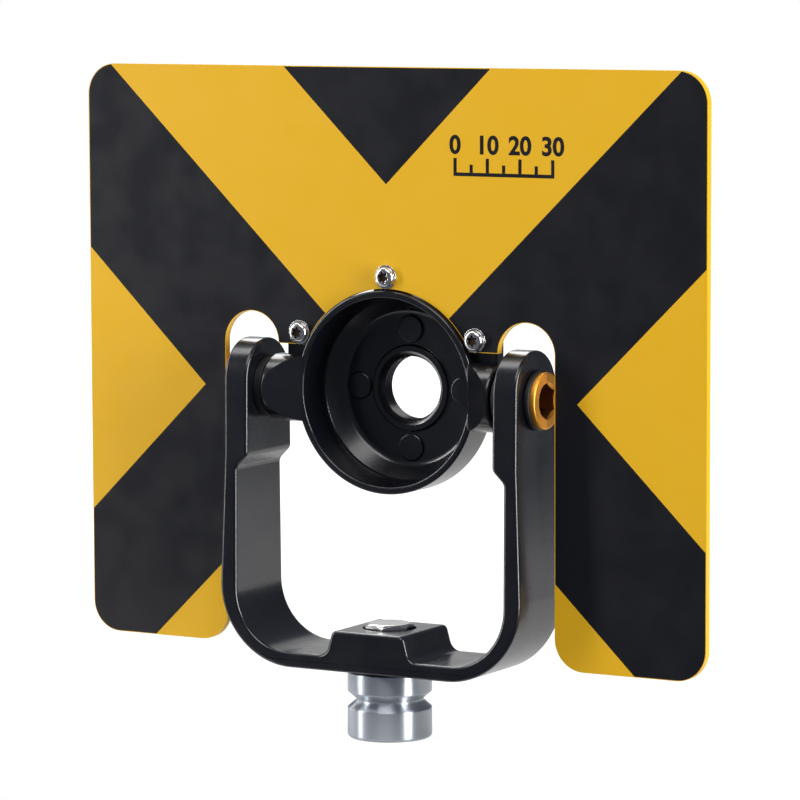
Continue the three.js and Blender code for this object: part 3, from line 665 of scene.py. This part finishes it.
# %% Bore the fork
BORE_GAP = 0.3
BORE_RADIUS = (bush_high.z - bush_low.z) / 2 + BORE_GAP
RECESS_RADIUS = (bolt_washer_high.x - bolt_washer_low.x) / 2 + BORE_GAP
BOLT_HOLE_RADIUS = 3.4
STUB_SEAT_RADIUS = 9.6
for start, end in ((-50, -30), (30, 50)):
    combine(fork, rod(BORE_RADIUS, start, end, X_AXIS, PIVOT), "DIFFERENCE")
combine(fork, rod(RECESS_RADIUS, bolt_washer_low.z, BOSS_TOP + 2, Z_AXIS), "DIFFERENCE")
combine(fork, rod(STUB_SEAT_RADIUS, yoke_low.z, BRIDGE_BOTTOM + 1, Z_AXIS), "UNION")
combine(fork, rod(BOLT_HOLE_RADIUS, yoke_low.z - 1, BOSS_TOP, Z_AXIS), "DIFFERENCE")
soften(fork, 0.12, segments=2, angle=60)
place(fork, YOKE_BODY, ["yoke"], "black_paint", cast_black)

# %% [markdown]
# ## Prism holder
#
# The dish was cast with its two trunnions and three ears. The dish is a spun section, with a raised
# collar round the threaded hole, and the trunnions are round bars with a slanted flat at the front
# that runs into the rim. Ears and trunnions are joined to the dish after its hollow is taken out of
# them, so that nothing reaches inside.

# %% Spin the dish
DISH_FRONT = plate_low.y - 1.4
DISH_FLOOR = DISH_FRONT + 14
WALL_FOOT = DISH_FRONT + 9.8
COLLAR_FRONT = DISH_FLOOR - 0.8
COLLAR_RADIUS = 11
DISH_BACK = DISH_FLOOR + 2.5
DISH_STEPS = 160
SOCKET_BACK = dish_high.y
SOCKET_CREST = 8.1
THREAD_DEPTH = 0.55
THREAD_PITCH = 1.05
thread_start = COLLAR_FRONT + 1.2
thread_count = int((SOCKET_BACK - 0.4 - thread_start) / THREAD_PITCH)
thread_section = []
for number in range(thread_count):
    turn = thread_start + number * THREAD_PITCH
    thread_section += [
        (SOCKET_CREST + THREAD_DEPTH, turn + 0.12 * THREAD_PITCH),
        (SOCKET_CREST, turn + 0.5 * THREAD_PITCH),
        (SOCKET_CREST, turn + 0.62 * THREAD_PITCH),
        (SOCKET_CREST + THREAD_DEPTH, turn + THREAD_PITCH),
    ]
dish_section = [
    (9.5, COLLAR_FRONT), (COLLAR_RADIUS, COLLAR_FRONT), (COLLAR_RADIUS, DISH_FLOOR), (19.6, DISH_FLOOR),
    (23.7, WALL_FOOT), (24.1, DISH_FRONT), (DISH_RADIUS, DISH_FRONT),
    (DISH_RADIUS, DISH_FRONT + 10.4), (22.5, DISH_BACK), (COLLAR_RADIUS, DISH_BACK),
    (COLLAR_RADIUS, SOCKET_BACK), (9, SOCKET_BACK),
]
dish_rounds = [
    (1, 0.3), (2, 0.5), (3, 2.2), (4, 2), (5, 0.6), (6, 0.6), (7, 1.5), (8, 1.5), (9, 0.8), (10, 0.4),
]
dish_drawing = draw(
    dish_section + list(reversed(thread_section)), X_AXIS, Y_AXIS, Z_AXIS * PIVOT.z, dish_rounds,
)
dish = as_object(spin(dish_drawing, Y_AXIS, PIVOT, DISH_STEPS), "holder_casting")
print("dish has", thread_count, "turns of thread and", len(dish.data.polygons), "faces")


# %% Cast the trunnions and ears
TRUNNION_RADIUS = 8.7
TRUNNION_START = 19
TRUNNION_END = thrust_low.x - 0.3
TAPPED_RADIUS, TAPPED_DEPTH = 3.4, 5.3
FLAT_START = Vector((TRUNNION_END - 0.5, -TRUNNION_RADIUS, 0))
FLAT_FACING = (-0.6, -0.8, 0)
EAR_FRONT = plate_high.y
EAR_BACK = EAR_FRONT + 4
EAR_RADIUS = 5
EAR_HOLE_RADIUS = 1.8
HOLLOW_RADIUS = 24.4
HOLLOW_BACK = DISH_FLOOR + 1.2


def hollow():
    """The room inside the dish."""
    section = draw(
        [(0, -12), (HOLLOW_RADIUS, -12), (HOLLOW_RADIUS, WALL_FOOT), (20, HOLLOW_BACK), (0, HOLLOW_BACK)],
        X_AXIS, Y_AXIS, Z_AXIS * PIVOT.z,
    )
    return as_object(spin(section, Y_AXIS, PIVOT, 96), "hollow")


def trunnion(side):
    """A round bar with a rounded end and a slanted flat."""
    section = draw(
        [(0, TRUNNION_START), (TRUNNION_RADIUS, TRUNNION_START), (TRUNNION_RADIUS, TRUNNION_END),
         (TAPPED_RADIUS, TRUNNION_END), (TAPPED_RADIUS, TRUNNION_END - TAPPED_DEPTH),
         (0, TRUNNION_END - TAPPED_DEPTH)],
        Z_AXIS, X_AXIS, PIVOT, rounds=[(2, 0.9)],
    )
    spin(section, X_AXIS, PIVOT, 96)
    bmesh.ops.remove_doubles(section, verts=section.verts, dist=0.0005)
    everything = section.verts[:] + section.edges[:] + section.faces[:]
    trimmed = bmesh.ops.bisect_plane(
        section, geom=everything, dist=0.0001, plane_co=FLAT_START, plane_no=FLAT_FACING,
        clear_outer=True,
    )
    rim = [item for item in trimmed["geom_cut"] if isinstance(item, bmesh.types.BMEdge)]
    bmesh.ops.holes_fill(section, edges=rim)
    if side < 0:
        bmesh.ops.scale(section, vec=(-1, 1, 1), verts=section.verts)
    return combine(as_object(section, "trunnion"), hollow(), "DIFFERENCE")


def ear(screw):
    """A lug behind the plate that a screw holds."""
    low, high = span(f"lock_washer_{screw}")
    x, z = (low.x + high.x) / 2, (low.z + high.z) / 2
    if screw == "top":
        outline = [(x - EAR_RADIUS, PIVOT.z + 20), (x + EAR_RADIUS, PIVOT.z + 20),
                   (x + EAR_RADIUS, z + EAR_RADIUS), (x - EAR_RADIUS, z + EAR_RADIUS)]
        rounds = [(2, EAR_RADIUS - 0.01), (3, EAR_RADIUS - 0.01)]
    else:
        side = math.copysign(1, x)
        outline = [(x - side * 10, z - 8), (x + side * EAR_RADIUS, z - 8),
                   (x + side * EAR_RADIUS, z + EAR_RADIUS), (x - side * 10, z + EAR_RADIUS)]
        rounds = [(1, 1), (2, EAR_RADIUS - 0.01)]
    drawing = draw(outline, X_AXIS, Z_AXIS, Y_AXIS * EAR_FRONT, rounds)
    lug = soften(as_object(pull(drawing, Y_AXIS * (EAR_BACK - EAR_FRONT)), "ear"), 0.5, segments=3)
    hole = rod(EAR_HOLE_RADIUS, EAR_FRONT - 1, EAR_BACK + 1, Y_AXIS, Vector((x, 0, z)), 32)
    combine(lug, hole, "DIFFERENCE")
    return combine(lug, hollow(), "DIFFERENCE")


for side in (-1, 1):
    combine(dish, trunnion(side), "UNION")
for screw in ("top", "left", "right"):
    combine(dish, ear(screw), "UNION")
print("holder has", len(dish.data.polygons), "faces")

# %% Add the pads and finish the holder
PAD_CIRCLE = 15.3
PAD_RADIUS, PAD_HEIGHT = 3.6, 0.7
for number in range(4):
    turn = number * math.pi / 2
    centre = PIVOT + Vector((math.cos(turn), 0, math.sin(turn))) * PAD_CIRCLE
    pad = rod(PAD_RADIUS, DISH_FLOOR - PAD_HEIGHT, DISH_FLOOR + 1, Y_AXIS, centre, 64)
    combine(dish, soften(pad, 0.5, segments=4), "UNION")
place(clean(dish), TILTING_BODY, ["prism_holder"], "black_paint", cast_black)

# %% [markdown]
# ## Plate screws and lock washers
#
# Each screw has a low domed head with a six-lobed recess. The recess's outline is a circle whose
# radius swells six times, which is close to the real star. Its faces get a darker, duller nickel,
# which is painted shade for the depth of the recess. The washer under it is a short spring: one
# turn of square wire whose ends don't meet.

# %% Make the three screws
SCREW_HEAD_RADIUS = 2.6
STAR_RADIUS = 1.3
STAR_LOBE = 0.26
RECESS_DEPTH = 1.2
SHANK_RADIUS = 1.5
WASHER_INNER = 1.8
WASHER_LIFT = 0.12
WASHER_STEPS, WASHER_SWEEP = 60, 346


def star(start, end, centre):
    """A six-lobed bar."""
    bm = bmesh.new()
    bmesh.ops.create_circle(bm, cap_ends=True, radius=STAR_RADIUS, segments=72)
    for vert in bm.verts:
        angle = math.atan2(vert.co.y, vert.co.x)
        vert.co *= 1 + STAR_LOBE / STAR_RADIUS * math.cos(6 * angle)
    upright = Matrix.Rotation(math.pi / 2, 3, "X")
    bmesh.ops.rotate(bm, cent=(0, 0, 0), matrix=upright, verts=bm.verts)
    bmesh.ops.translate(bm, vec=centre + Y_AXIS * start, verts=bm.verts)
    return as_object(pull(bm, Y_AXIS * (end - start)), "star")


def plate_screw(name, turn):
    """A pan head screw, turned by some degrees as it was left when tightened."""
    low, high = span(f"plate_screw_{name}")
    centre = Vector(((low.x + high.x) / 2, 0, (low.z + high.z) / 2))
    seat = plate_low.y - 0.6
    section = draw(
        [(0, low.y), (SCREW_HEAD_RADIUS, low.y), (SCREW_HEAD_RADIUS, seat), (SHANK_RADIUS, seat),
         (SHANK_RADIUS, high.y), (0, high.y)],
        Z_AXIS, Y_AXIS, centre, rounds=[(1, 0.95), (2, 0.15)],
    )
    body = as_object(spin(section, Y_AXIS, centre, 72), f"pan_head_{name}")
    recess = star(low.y - 1, low.y + RECESS_DEPTH, centre)
    turned = Matrix.Rotation(math.radians(turn), 4, "Y")
    recess.data.transform(Matrix.Translation(centre) @ turned @ Matrix.Translation(-centre))
    combine(body, recess, "DIFFERENCE")
    soften(body, 0.06, segments=2, angle=50)
    place(body, TILTING_BODY, [f"plate_screw_{name}"], "bright_steel", nickel, nickel_painted_shade)
    # The recess's faces are the ones behind the domed top and within the star; they get the darker nickel
    # as painted shade.
    deep, reach = (low.y + 0.25) * MM, (STAR_RADIUS + STAR_LOBE + 0.05) * MM
    for polygon in body.data.polygons:
        aside = polygon.center - centre * MM
        in_recess = math.hypot(aside.x, aside.z) < reach and deep < polygon.center.y < plate_low.y * MM
        polygon.material_index = int(in_recess)


def lock_washer(name, turn):
    """One turn of square wire with a gap."""
    low, high = span(f"lock_washer_{name}")
    centre = Vector(((low.x + high.x) / 2, 0, (low.z + high.z) / 2))
    outer = (high.x - low.x) / 2
    wire = draw(
        [(WASHER_INNER, low.y + WASHER_LIFT), (outer, low.y + WASHER_LIFT), (outer, high.y),
         (WASHER_INNER, high.y)],
        X_AXIS, Y_AXIS, centre, rounds=[(0, 0.1), (1, 0.1), (2, 0.1), (3, 0.1)],
    )
    turned = Matrix.Rotation(math.radians(turn), 3, "Y")
    bmesh.ops.rotate(wire, cent=centre, matrix=turned, verts=wire.verts)
    bmesh.ops.spin(
        wire, geom=wire.faces[:], cent=centre, axis=Y_AXIS, dvec=(0, -WASHER_LIFT / WASHER_STEPS, 0),
        angle=math.radians(WASHER_SWEEP), steps=WASHER_STEPS, use_merge=False,
    )
    body = as_object(wire, f"spring_washer_{name}")
    place(body, TILTING_BODY, [f"lock_washer_{name}"], "bright_steel", nickel)


for name, turn in (("top", 12), ("left", 40), ("right", 25)):
    plate_screw(name, turn)
    lock_washer(name, turn * 3)

# %% [markdown]
# ## Pivots
#
# A gold shoulder screw goes through each arm into its trunnion. Its low head has a deep hexagon
# socket with a short cone at its mouth, and the faces inside the socket get a darker gold as painted
# shade. A black ring lies between the head and the arm. Between the trunnion and the arm sits a
# friction washer, and a thin bush lines the bore.


# %% Make the pivots
SHOULDER_RADIUS = 5.5
SHOULDER_GAP = 0.3
PIVOT_SHANK_RADIUS = 3
SOCKET_FLATS, SOCKET_FLOOR, SOCKET_TURN = 8, 2.4, 30
LEAD_IN_DEPTH, LEAD_IN_SMALL, LEAD_IN_LARGE = 0.6, 4.1, 4.8
SOCKET_REACH, SOCKET_MOUTH = 4.65, 0.55


def hexagon(across_flats, start, end, axis, through, turn):
    """A hexagonal bar turned about its own axis by some degrees."""
    bm = bmesh.new()
    bmesh.ops.create_circle(bm, cap_ends=True, radius=across_flats / math.sqrt(3), segments=6)
    turned = Matrix.Rotation(math.radians(turn), 3, "Z")
    bmesh.ops.rotate(bm, cent=(0, 0, 0), matrix=turned, verts=bm.verts)
    stand = Z_AXIS.rotation_difference(axis).to_matrix()
    bmesh.ops.rotate(bm, cent=(0, 0, 0), matrix=stand, verts=bm.verts)
    bmesh.ops.translate(bm, vec=through + axis * start, verts=bm.verts)
    return as_object(pull(bm, axis * (end - start)), "hexagon")


def mirrored(made, side):
    """The piece made for the right, or its mirror image."""
    if side < 0:
        made.data.transform(Matrix.Scale(-1, 4, X_AXIS))
        made.data.flip_normals()
    return made


def pivot(side_name, side):
    """The gold screw, its black ring, the bush and the friction washer of one arm."""
    screw_span, ring_span = span(f"pivot_screw_{side_name}"), span(f"head_washer_{side_name}")
    head = max(abs(corner.x) for corner in screw_span)
    ring_start, ring_end = sorted(abs(corner.x) for corner in ring_span)
    head_radius = (gold_high.z - gold_low.z) / 2
    ring_radius = (ring_span[1].z - ring_span[0].z) / 2
    section = draw(
        [(0, gold_low.x), (PIVOT_SHANK_RADIUS, gold_low.x), (PIVOT_SHANK_RADIUS, TRUNNION_END),
         (SHOULDER_RADIUS, TRUNNION_END), (SHOULDER_RADIUS, ring_end), (head_radius, ring_end),
         (head_radius, head), (0, head)],
        Z_AXIS, X_AXIS, PIVOT, rounds=[(1, 0.5), (5, 0.15), (6, 0.45)],
    )
    screw = as_object(spin(section, X_AXIS, PIVOT, 128), f"pivot_bolt_{side_name}")
    socket = hexagon(SOCKET_FLATS, TRUNNION_END + SOCKET_FLOOR, head + 1, X_AXIS, PIVOT, SOCKET_TURN)
    combine(screw, socket, "DIFFERENCE")
    lead_in = draw(
        [(0, head - LEAD_IN_DEPTH), (LEAD_IN_SMALL, head - LEAD_IN_DEPTH), (LEAD_IN_LARGE, head + 0.1),
         (0, head + 0.1)],
        Z_AXIS, X_AXIS, PIVOT,
    )
    combine(screw, as_object(spin(lead_in, X_AXIS, PIVOT), "lead_in"), "DIFFERENCE")
    soften(screw, 0.12, segments=2, angle=50)
    place(
        mirrored(screw, side), TILTING_BODY, [f"pivot_screw_{side_name}"], "gold_anodised",
        gold, gold_painted_shade,
    )
    # Faces inside the socket get the darker gold, as painted shade.
    for polygon in screw.data.polygons:
        aside = (polygon.center - PIVOT * MM) / MM
        near_axis = math.hypot(aside.y, aside.z) < SOCKET_REACH
        in_socket = near_axis and TRUNNION_END + 2 < abs(aside.x) < head - SOCKET_MOUTH
        polygon.material_index = int(in_socket)
    inner = SHOULDER_RADIUS + SHOULDER_GAP
    black_ring = ring(
        f"head_ring_{side_name}", ring_radius, inner, ring_start, ring_end, X_AXIS, PIVOT, 0.25,
    )
    place(mirrored(black_ring, side), TILTING_BODY, [f"head_washer_{side_name}"], "black_nylon", nylon)
    friction = ring(
        f"friction_ring_{side_name}", (thrust_high.z - thrust_low.z) / 2, inner,
        thrust_low.x, thrust_high.x, X_AXIS, PIVOT, 0.2,
    )
    place(mirrored(friction, side), YOKE_BODY, [f"thrust_washer_{side_name}"], "black_nylon", nylon)
    lining = ring(
        f"arm_bush_{side_name}", (bush_high.z - bush_low.z) / 2, inner,
        bush_low.x, bush_high.x, X_AXIS, PIVOT,
    )
    place(mirrored(lining, side), YOKE_BODY, [f"pivot_bush_{side_name}"], "bush_bronze", bronze)


for side_name, side in (("right", 1), ("left", -1)):
    pivot(side_name, side)

# %% [markdown]
# ## Stub and bolt
#
# The stub was turned from bar: a plain cylinder with a lock groove and a threaded hole for the pole.
# A plated hexagon bolt goes down through the boss into it. The top of a hexagon head is cut by a
# cone, so it is made here as a hexagonal bar trimmed by a spun shape.

# %% Turn the stub
STUB_RADIUS = (stub_high.x - stub_low.x) / 2
GROOVE_HEIGHT, GROOVE_HALF, GROOVE_RADIUS = 9.8, 2.1, 8.4
POLE_THREAD_CREST = 6.9
POLE_THREAD_DEPTH = 0.8
POLE_PITCH = 2.3
POLE_SOCKET_TOP = 11
pole_thread = []
for number in range(4):
    turn = 1.2 + number * POLE_PITCH
    pole_thread += [
        (POLE_THREAD_CREST + POLE_THREAD_DEPTH, turn + 0.15),
        (POLE_THREAD_CREST, turn + 0.45 * POLE_PITCH),
        (POLE_THREAD_CREST, turn + 0.6 * POLE_PITCH),
        (POLE_THREAD_CREST + POLE_THREAD_DEPTH, turn + POLE_PITCH),
    ]
stub_section = [
    (STUB_RADIUS, 0), (STUB_RADIUS, GROOVE_HEIGHT - GROOVE_HALF), (GROOVE_RADIUS, GROOVE_HEIGHT),
    (STUB_RADIUS, GROOVE_HEIGHT + GROOVE_HALF), (STUB_RADIUS, stub_high.z),
    (BOLT_HOLE_RADIUS, stub_high.z), (BOLT_HOLE_RADIUS, POLE_SOCKET_TOP),
    (POLE_THREAD_CREST + POLE_THREAD_DEPTH, POLE_SOCKET_TOP),
]
stub_drawing = draw(
    stub_section + list(reversed(pole_thread)) + [(POLE_THREAD_CREST + 1, 0)], X_AXIS, Z_AXIS,
    rounds=[(0, 1), (1, 0.5), (2, 0.6), (3, 0.5), (4, 0.3)],
)
stub = as_object(spin(stub_drawing, Z_AXIS, Vector(), 128), "turned_stub")
place(stub, YOKE_BODY, ["base_adapter"], "turned_aluminium", turned_metal)

# %% Make the bolt and its washer
BOLT_TURN = 11.5
BOLT_FLATS = 11.1
BOLT_SHANK_RADIUS = 3.1
CONE_DROP, CONE_TOP_RADIUS = 1.35, 5.15
bolt_seat = bolt_washer_high.z
bolt_corner = BOLT_FLATS / math.sqrt(3)
head_bar = hexagon(BOLT_FLATS, bolt_seat, bolt_high.z, Z_AXIS, Vector(), BOLT_TURN)
cone = draw(
    [(0, bolt_seat - 1), (bolt_corner + 1, bolt_seat - 1), (bolt_corner + 1, bolt_high.z - CONE_DROP),
     (CONE_TOP_RADIUS, bolt_high.z), (0, bolt_high.z)],
    X_AXIS, Z_AXIS, rounds=[(3, 0.25)],
)
combine(head_bar, as_object(spin(cone, Z_AXIS, Vector(), 96), "cone"), "INTERSECT")
head_bar.name = "hexagon_bolt"
soften(head_bar, 0.15, segments=2, angle=30)
combine(head_bar, rod(BOLT_SHANK_RADIUS, bolt_low.z, bolt_seat + 1, Z_AXIS), "UNION")
place(head_bar, YOKE_BODY, ["adapter_bolt"], "bright_steel", nickel)
washer = ring(
    "bolt_washer", (bolt_washer_high.x - bolt_washer_low.x) / 2, BOLT_HOLE_RADIUS,
    bolt_washer_low.z, bolt_washer_high.z, Z_AXIS,
)
place(washer, YOKE_BODY, ["adapter_bolt_washer"], "bright_steel", nickel)

# %% [markdown]
# ## Floor, light and camera
#
# The object stands on a plain white floor in front of a white backdrop, under six soft lamps. Three
# hang overhead, a broad one stands on the left, and two tall strips at the sides draw the narrow
# highlights along the arms and down the stub. White paper would also fill black paint with pale
# reflections, so reflections see the paper at half strength and don't see the white world at all.


# %% Build the stage
BOUNCE = 0.5
MIRRORED_SHARE = 0.5
WHITER_FROM, WHITER_TO = 0.12, 0.5


def stage_material(name, pale, glow):
    """Grey to light that bounces, white to the camera, and half as bright in reflections."""
    material = bpy.data.materials.new(name)
    material.use_nodes = True
    nodes, links = material.node_tree.nodes, material.node_tree.links
    nodes.remove(nodes["Principled BSDF"])
    bounce = spot(nodes, "ShaderNodeBsdfDiffuse")
    bounce.inputs["Color"].default_value = (BOUNCE, BOUNCE, BOUNCE, 1)
    shade = spot(nodes, "ShaderNodeBsdfDiffuse")
    shade.inputs["Color"].default_value = (pale, pale, pale, 1)
    light = spot(nodes, "ShaderNodeEmission")
    place_on = spot(nodes, "ShaderNodeTexCoord")
    away = spot(nodes, "ShaderNodeVectorMath", operation="LENGTH")
    whiter = spot(nodes, "ShaderNodeMapRange")
    limits = {"From Min": WHITER_FROM, "From Max": WHITER_TO, "To Min": glow, "To Max": 1}
    for socket, value in limits.items():
        whiter.inputs[socket].default_value = value
    links.new(place_on.outputs["Object"], away.inputs[0])
    links.new(away.outputs["Value"], whiter.inputs["Value"])
    links.new(whiter.outputs["Result"], light.inputs["Strength"])
    shown = spot(nodes, "ShaderNodeAddShader")
    links.new(shade.outputs["BSDF"], shown.inputs[0])
    links.new(light.outputs["Emission"], shown.inputs[1])
    path = spot(nodes, "ShaderNodeLightPath")
    softer = spot(nodes, "ShaderNodeMath", operation="MULTIPLY")
    softer.inputs[1].default_value = MIRRORED_SHARE
    mirrored_too = spot(nodes, "ShaderNodeMath", operation="MAXIMUM")
    links.new(path.outputs["Is Camera Ray"], mirrored_too.inputs[0])
    links.new(path.outputs["Is Glossy Ray"], softer.inputs[0])
    links.new(softer.outputs["Value"], mirrored_too.inputs[1])
    glass_too = spot(nodes, "ShaderNodeMath", operation="MAXIMUM")
    links.new(mirrored_too.outputs["Value"], glass_too.inputs[0])
    links.new(path.outputs["Is Transmission Ray"], glass_too.inputs[1])
    choice = spot(nodes, "ShaderNodeMixShader")
    links.new(glass_too.outputs["Value"], choice.inputs["Fac"])
    links.new(bounce.outputs["BSDF"], choice.inputs[1])
    links.new(shown.outputs["Shader"], choice.inputs[2])
    links.new(choice.outputs["Shader"], nodes["Material Output"].inputs["Surface"])
    return material


VIEW_SIDE = Vector((0.868, 0.497, 0))
VIEW_AWAY = Vector((-0.497, 0.868, 0))
PAPER_FRONT, PAPER_BACK, PAPER_HALF, PAPER_TOP = -0.03, 2.2, 0.45, 1.8


def sheet_of_paper(name, corners, material):
    """A flat four-cornered part of the paper that the object stands on, in metres."""
    bm = bmesh.new()
    bm.faces.new([bm.verts.new(corner) for corner in corners])
    paper = as_object(bm, name)
    paper.data.materials.append(material)
    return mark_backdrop(paper)


front_middle, back_middle = VIEW_AWAY * PAPER_FRONT, VIEW_AWAY * PAPER_BACK
aside = VIEW_SIDE * PAPER_HALF
near = [front_middle - aside, front_middle + aside]
far = [back_middle + aside, back_middle - aside]
sheet_of_paper("floor", near + far, stage_material("floor_white", 0.2, 0.86))
high = [far[1] + Z_AXIS * PAPER_TOP, far[0] + Z_AXIS * PAPER_TOP]
sheet_of_paper("backdrop", far + high, stage_material("backdrop_white", 0, 1))
print("paper reaches", PAPER_BACK, "m back and", PAPER_TOP, "m up")

# %% Light it
SKY_COLOUR = (0.85, 0.93, 1.15, 1)
SKY_STRENGTH = 0.14
LAMP_AIM = Vector((0, 0, 0.08))
world = bpy.data.worlds.new("studio")
bpy.context.scene.world = world
world.use_nodes = True
world_nodes, world_links = world.node_tree.nodes, world.node_tree.links
sky = world_nodes["Background"]
sky.inputs["Color"].default_value = SKY_COLOUR
sky.inputs["Strength"].default_value = SKY_STRENGTH
white = spot(world_nodes, "ShaderNodeBackground")
white.inputs["Color"].default_value = (1, 1, 1, 1)
world_path = spot(world_nodes, "ShaderNodeLightPath")
in_view = spot(world_nodes, "ShaderNodeMath", operation="MAXIMUM")
world_choice = spot(world_nodes, "ShaderNodeMixShader")
world_links.new(world_path.outputs["Is Camera Ray"], in_view.inputs[0])
world_links.new(world_path.outputs["Is Transmission Ray"], in_view.inputs[1])
world_links.new(in_view.outputs["Value"], world_choice.inputs["Fac"])
world_links.new(sky.outputs["Background"], world_choice.inputs[1])
world_links.new(white.outputs["Background"], world_choice.inputs[2])
world_links.new(world_choice.outputs["Shader"], world_nodes["World Output"].inputs["Surface"])
print("sky strength", SKY_STRENGTH)


def softbox(name, at, size, power):
    """A rectangular lamp at a place in metres, aimed at the object, with its power in watts."""
    lamp = bpy.data.lights.new(name, "AREA")
    lamp.shape = "RECTANGLE"
    lamp.size, lamp.size_y = size
    lamp.energy = power
    made = bpy.data.objects.new(name, lamp)
    made.location = at
    made.rotation_euler = (LAMP_AIM - Vector(at)).to_track_quat("-Z", "Y").to_euler()
    made.visible_camera = False
    bpy.context.collection.objects.link(made)
    print("lamp", name, power, "W")


softbox("overhead_left", (-0.6, 0.1, 1.15), (0.8, 0.7), 8)
softbox("behind_left", (-0.75, 0.75, 1.1), (0.8, 0.8), 12)
softbox("overhead_front", (0.2, -0.75, 1.15), (0.9, 0.7), 8.5)
softbox("right_strip", (1.19, -0.2, 0.25), (0.28, 1.1), 20)
softbox("left_strip", (-1.02, -0.64, 0.25), (0.2, 1.1), 9)
softbox("left_side", (-1.25, 0.25, 0.6), (0.9, 0.9), 8)

# %% Set up the camera
CAMERA_AT = Vector((543.87, -943.41, 202.79)) * MM
CAMERA_LENS, CAMERA_SENSOR = 193.86, 36
camera_data = bpy.data.cameras.new("camera")
camera_data.sensor_width = CAMERA_SENSOR
camera_data.lens = CAMERA_LENS
camera_data.clip_start = 0.05
camera_data.clip_end = 20
camera = bpy.data.objects.new("camera", camera_data)
camera_right = Vector((0.86787, 0.49678, -0.00393))
camera_up = Vector((-0.04936, 0.09410, 0.99434))
camera_back = Vector((0.49434, -0.86276, 0.10618))
facing = Matrix((camera_right, camera_up, camera_back)).transposed().to_4x4()
camera.matrix_world = Matrix.Translation(CAMERA_AT) @ facing
bpy.context.collection.objects.link(camera)
bpy.context.scene.camera = camera
bpy.context.scene.view_settings.view_transform = "Standard"
print("camera looks from", tuple(round(v, 3) for v in camera.location))

# %% Measure the visual model
low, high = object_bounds()
print("visual model is", tuple(round(v / MM, 1) for v in high - low), "mm")
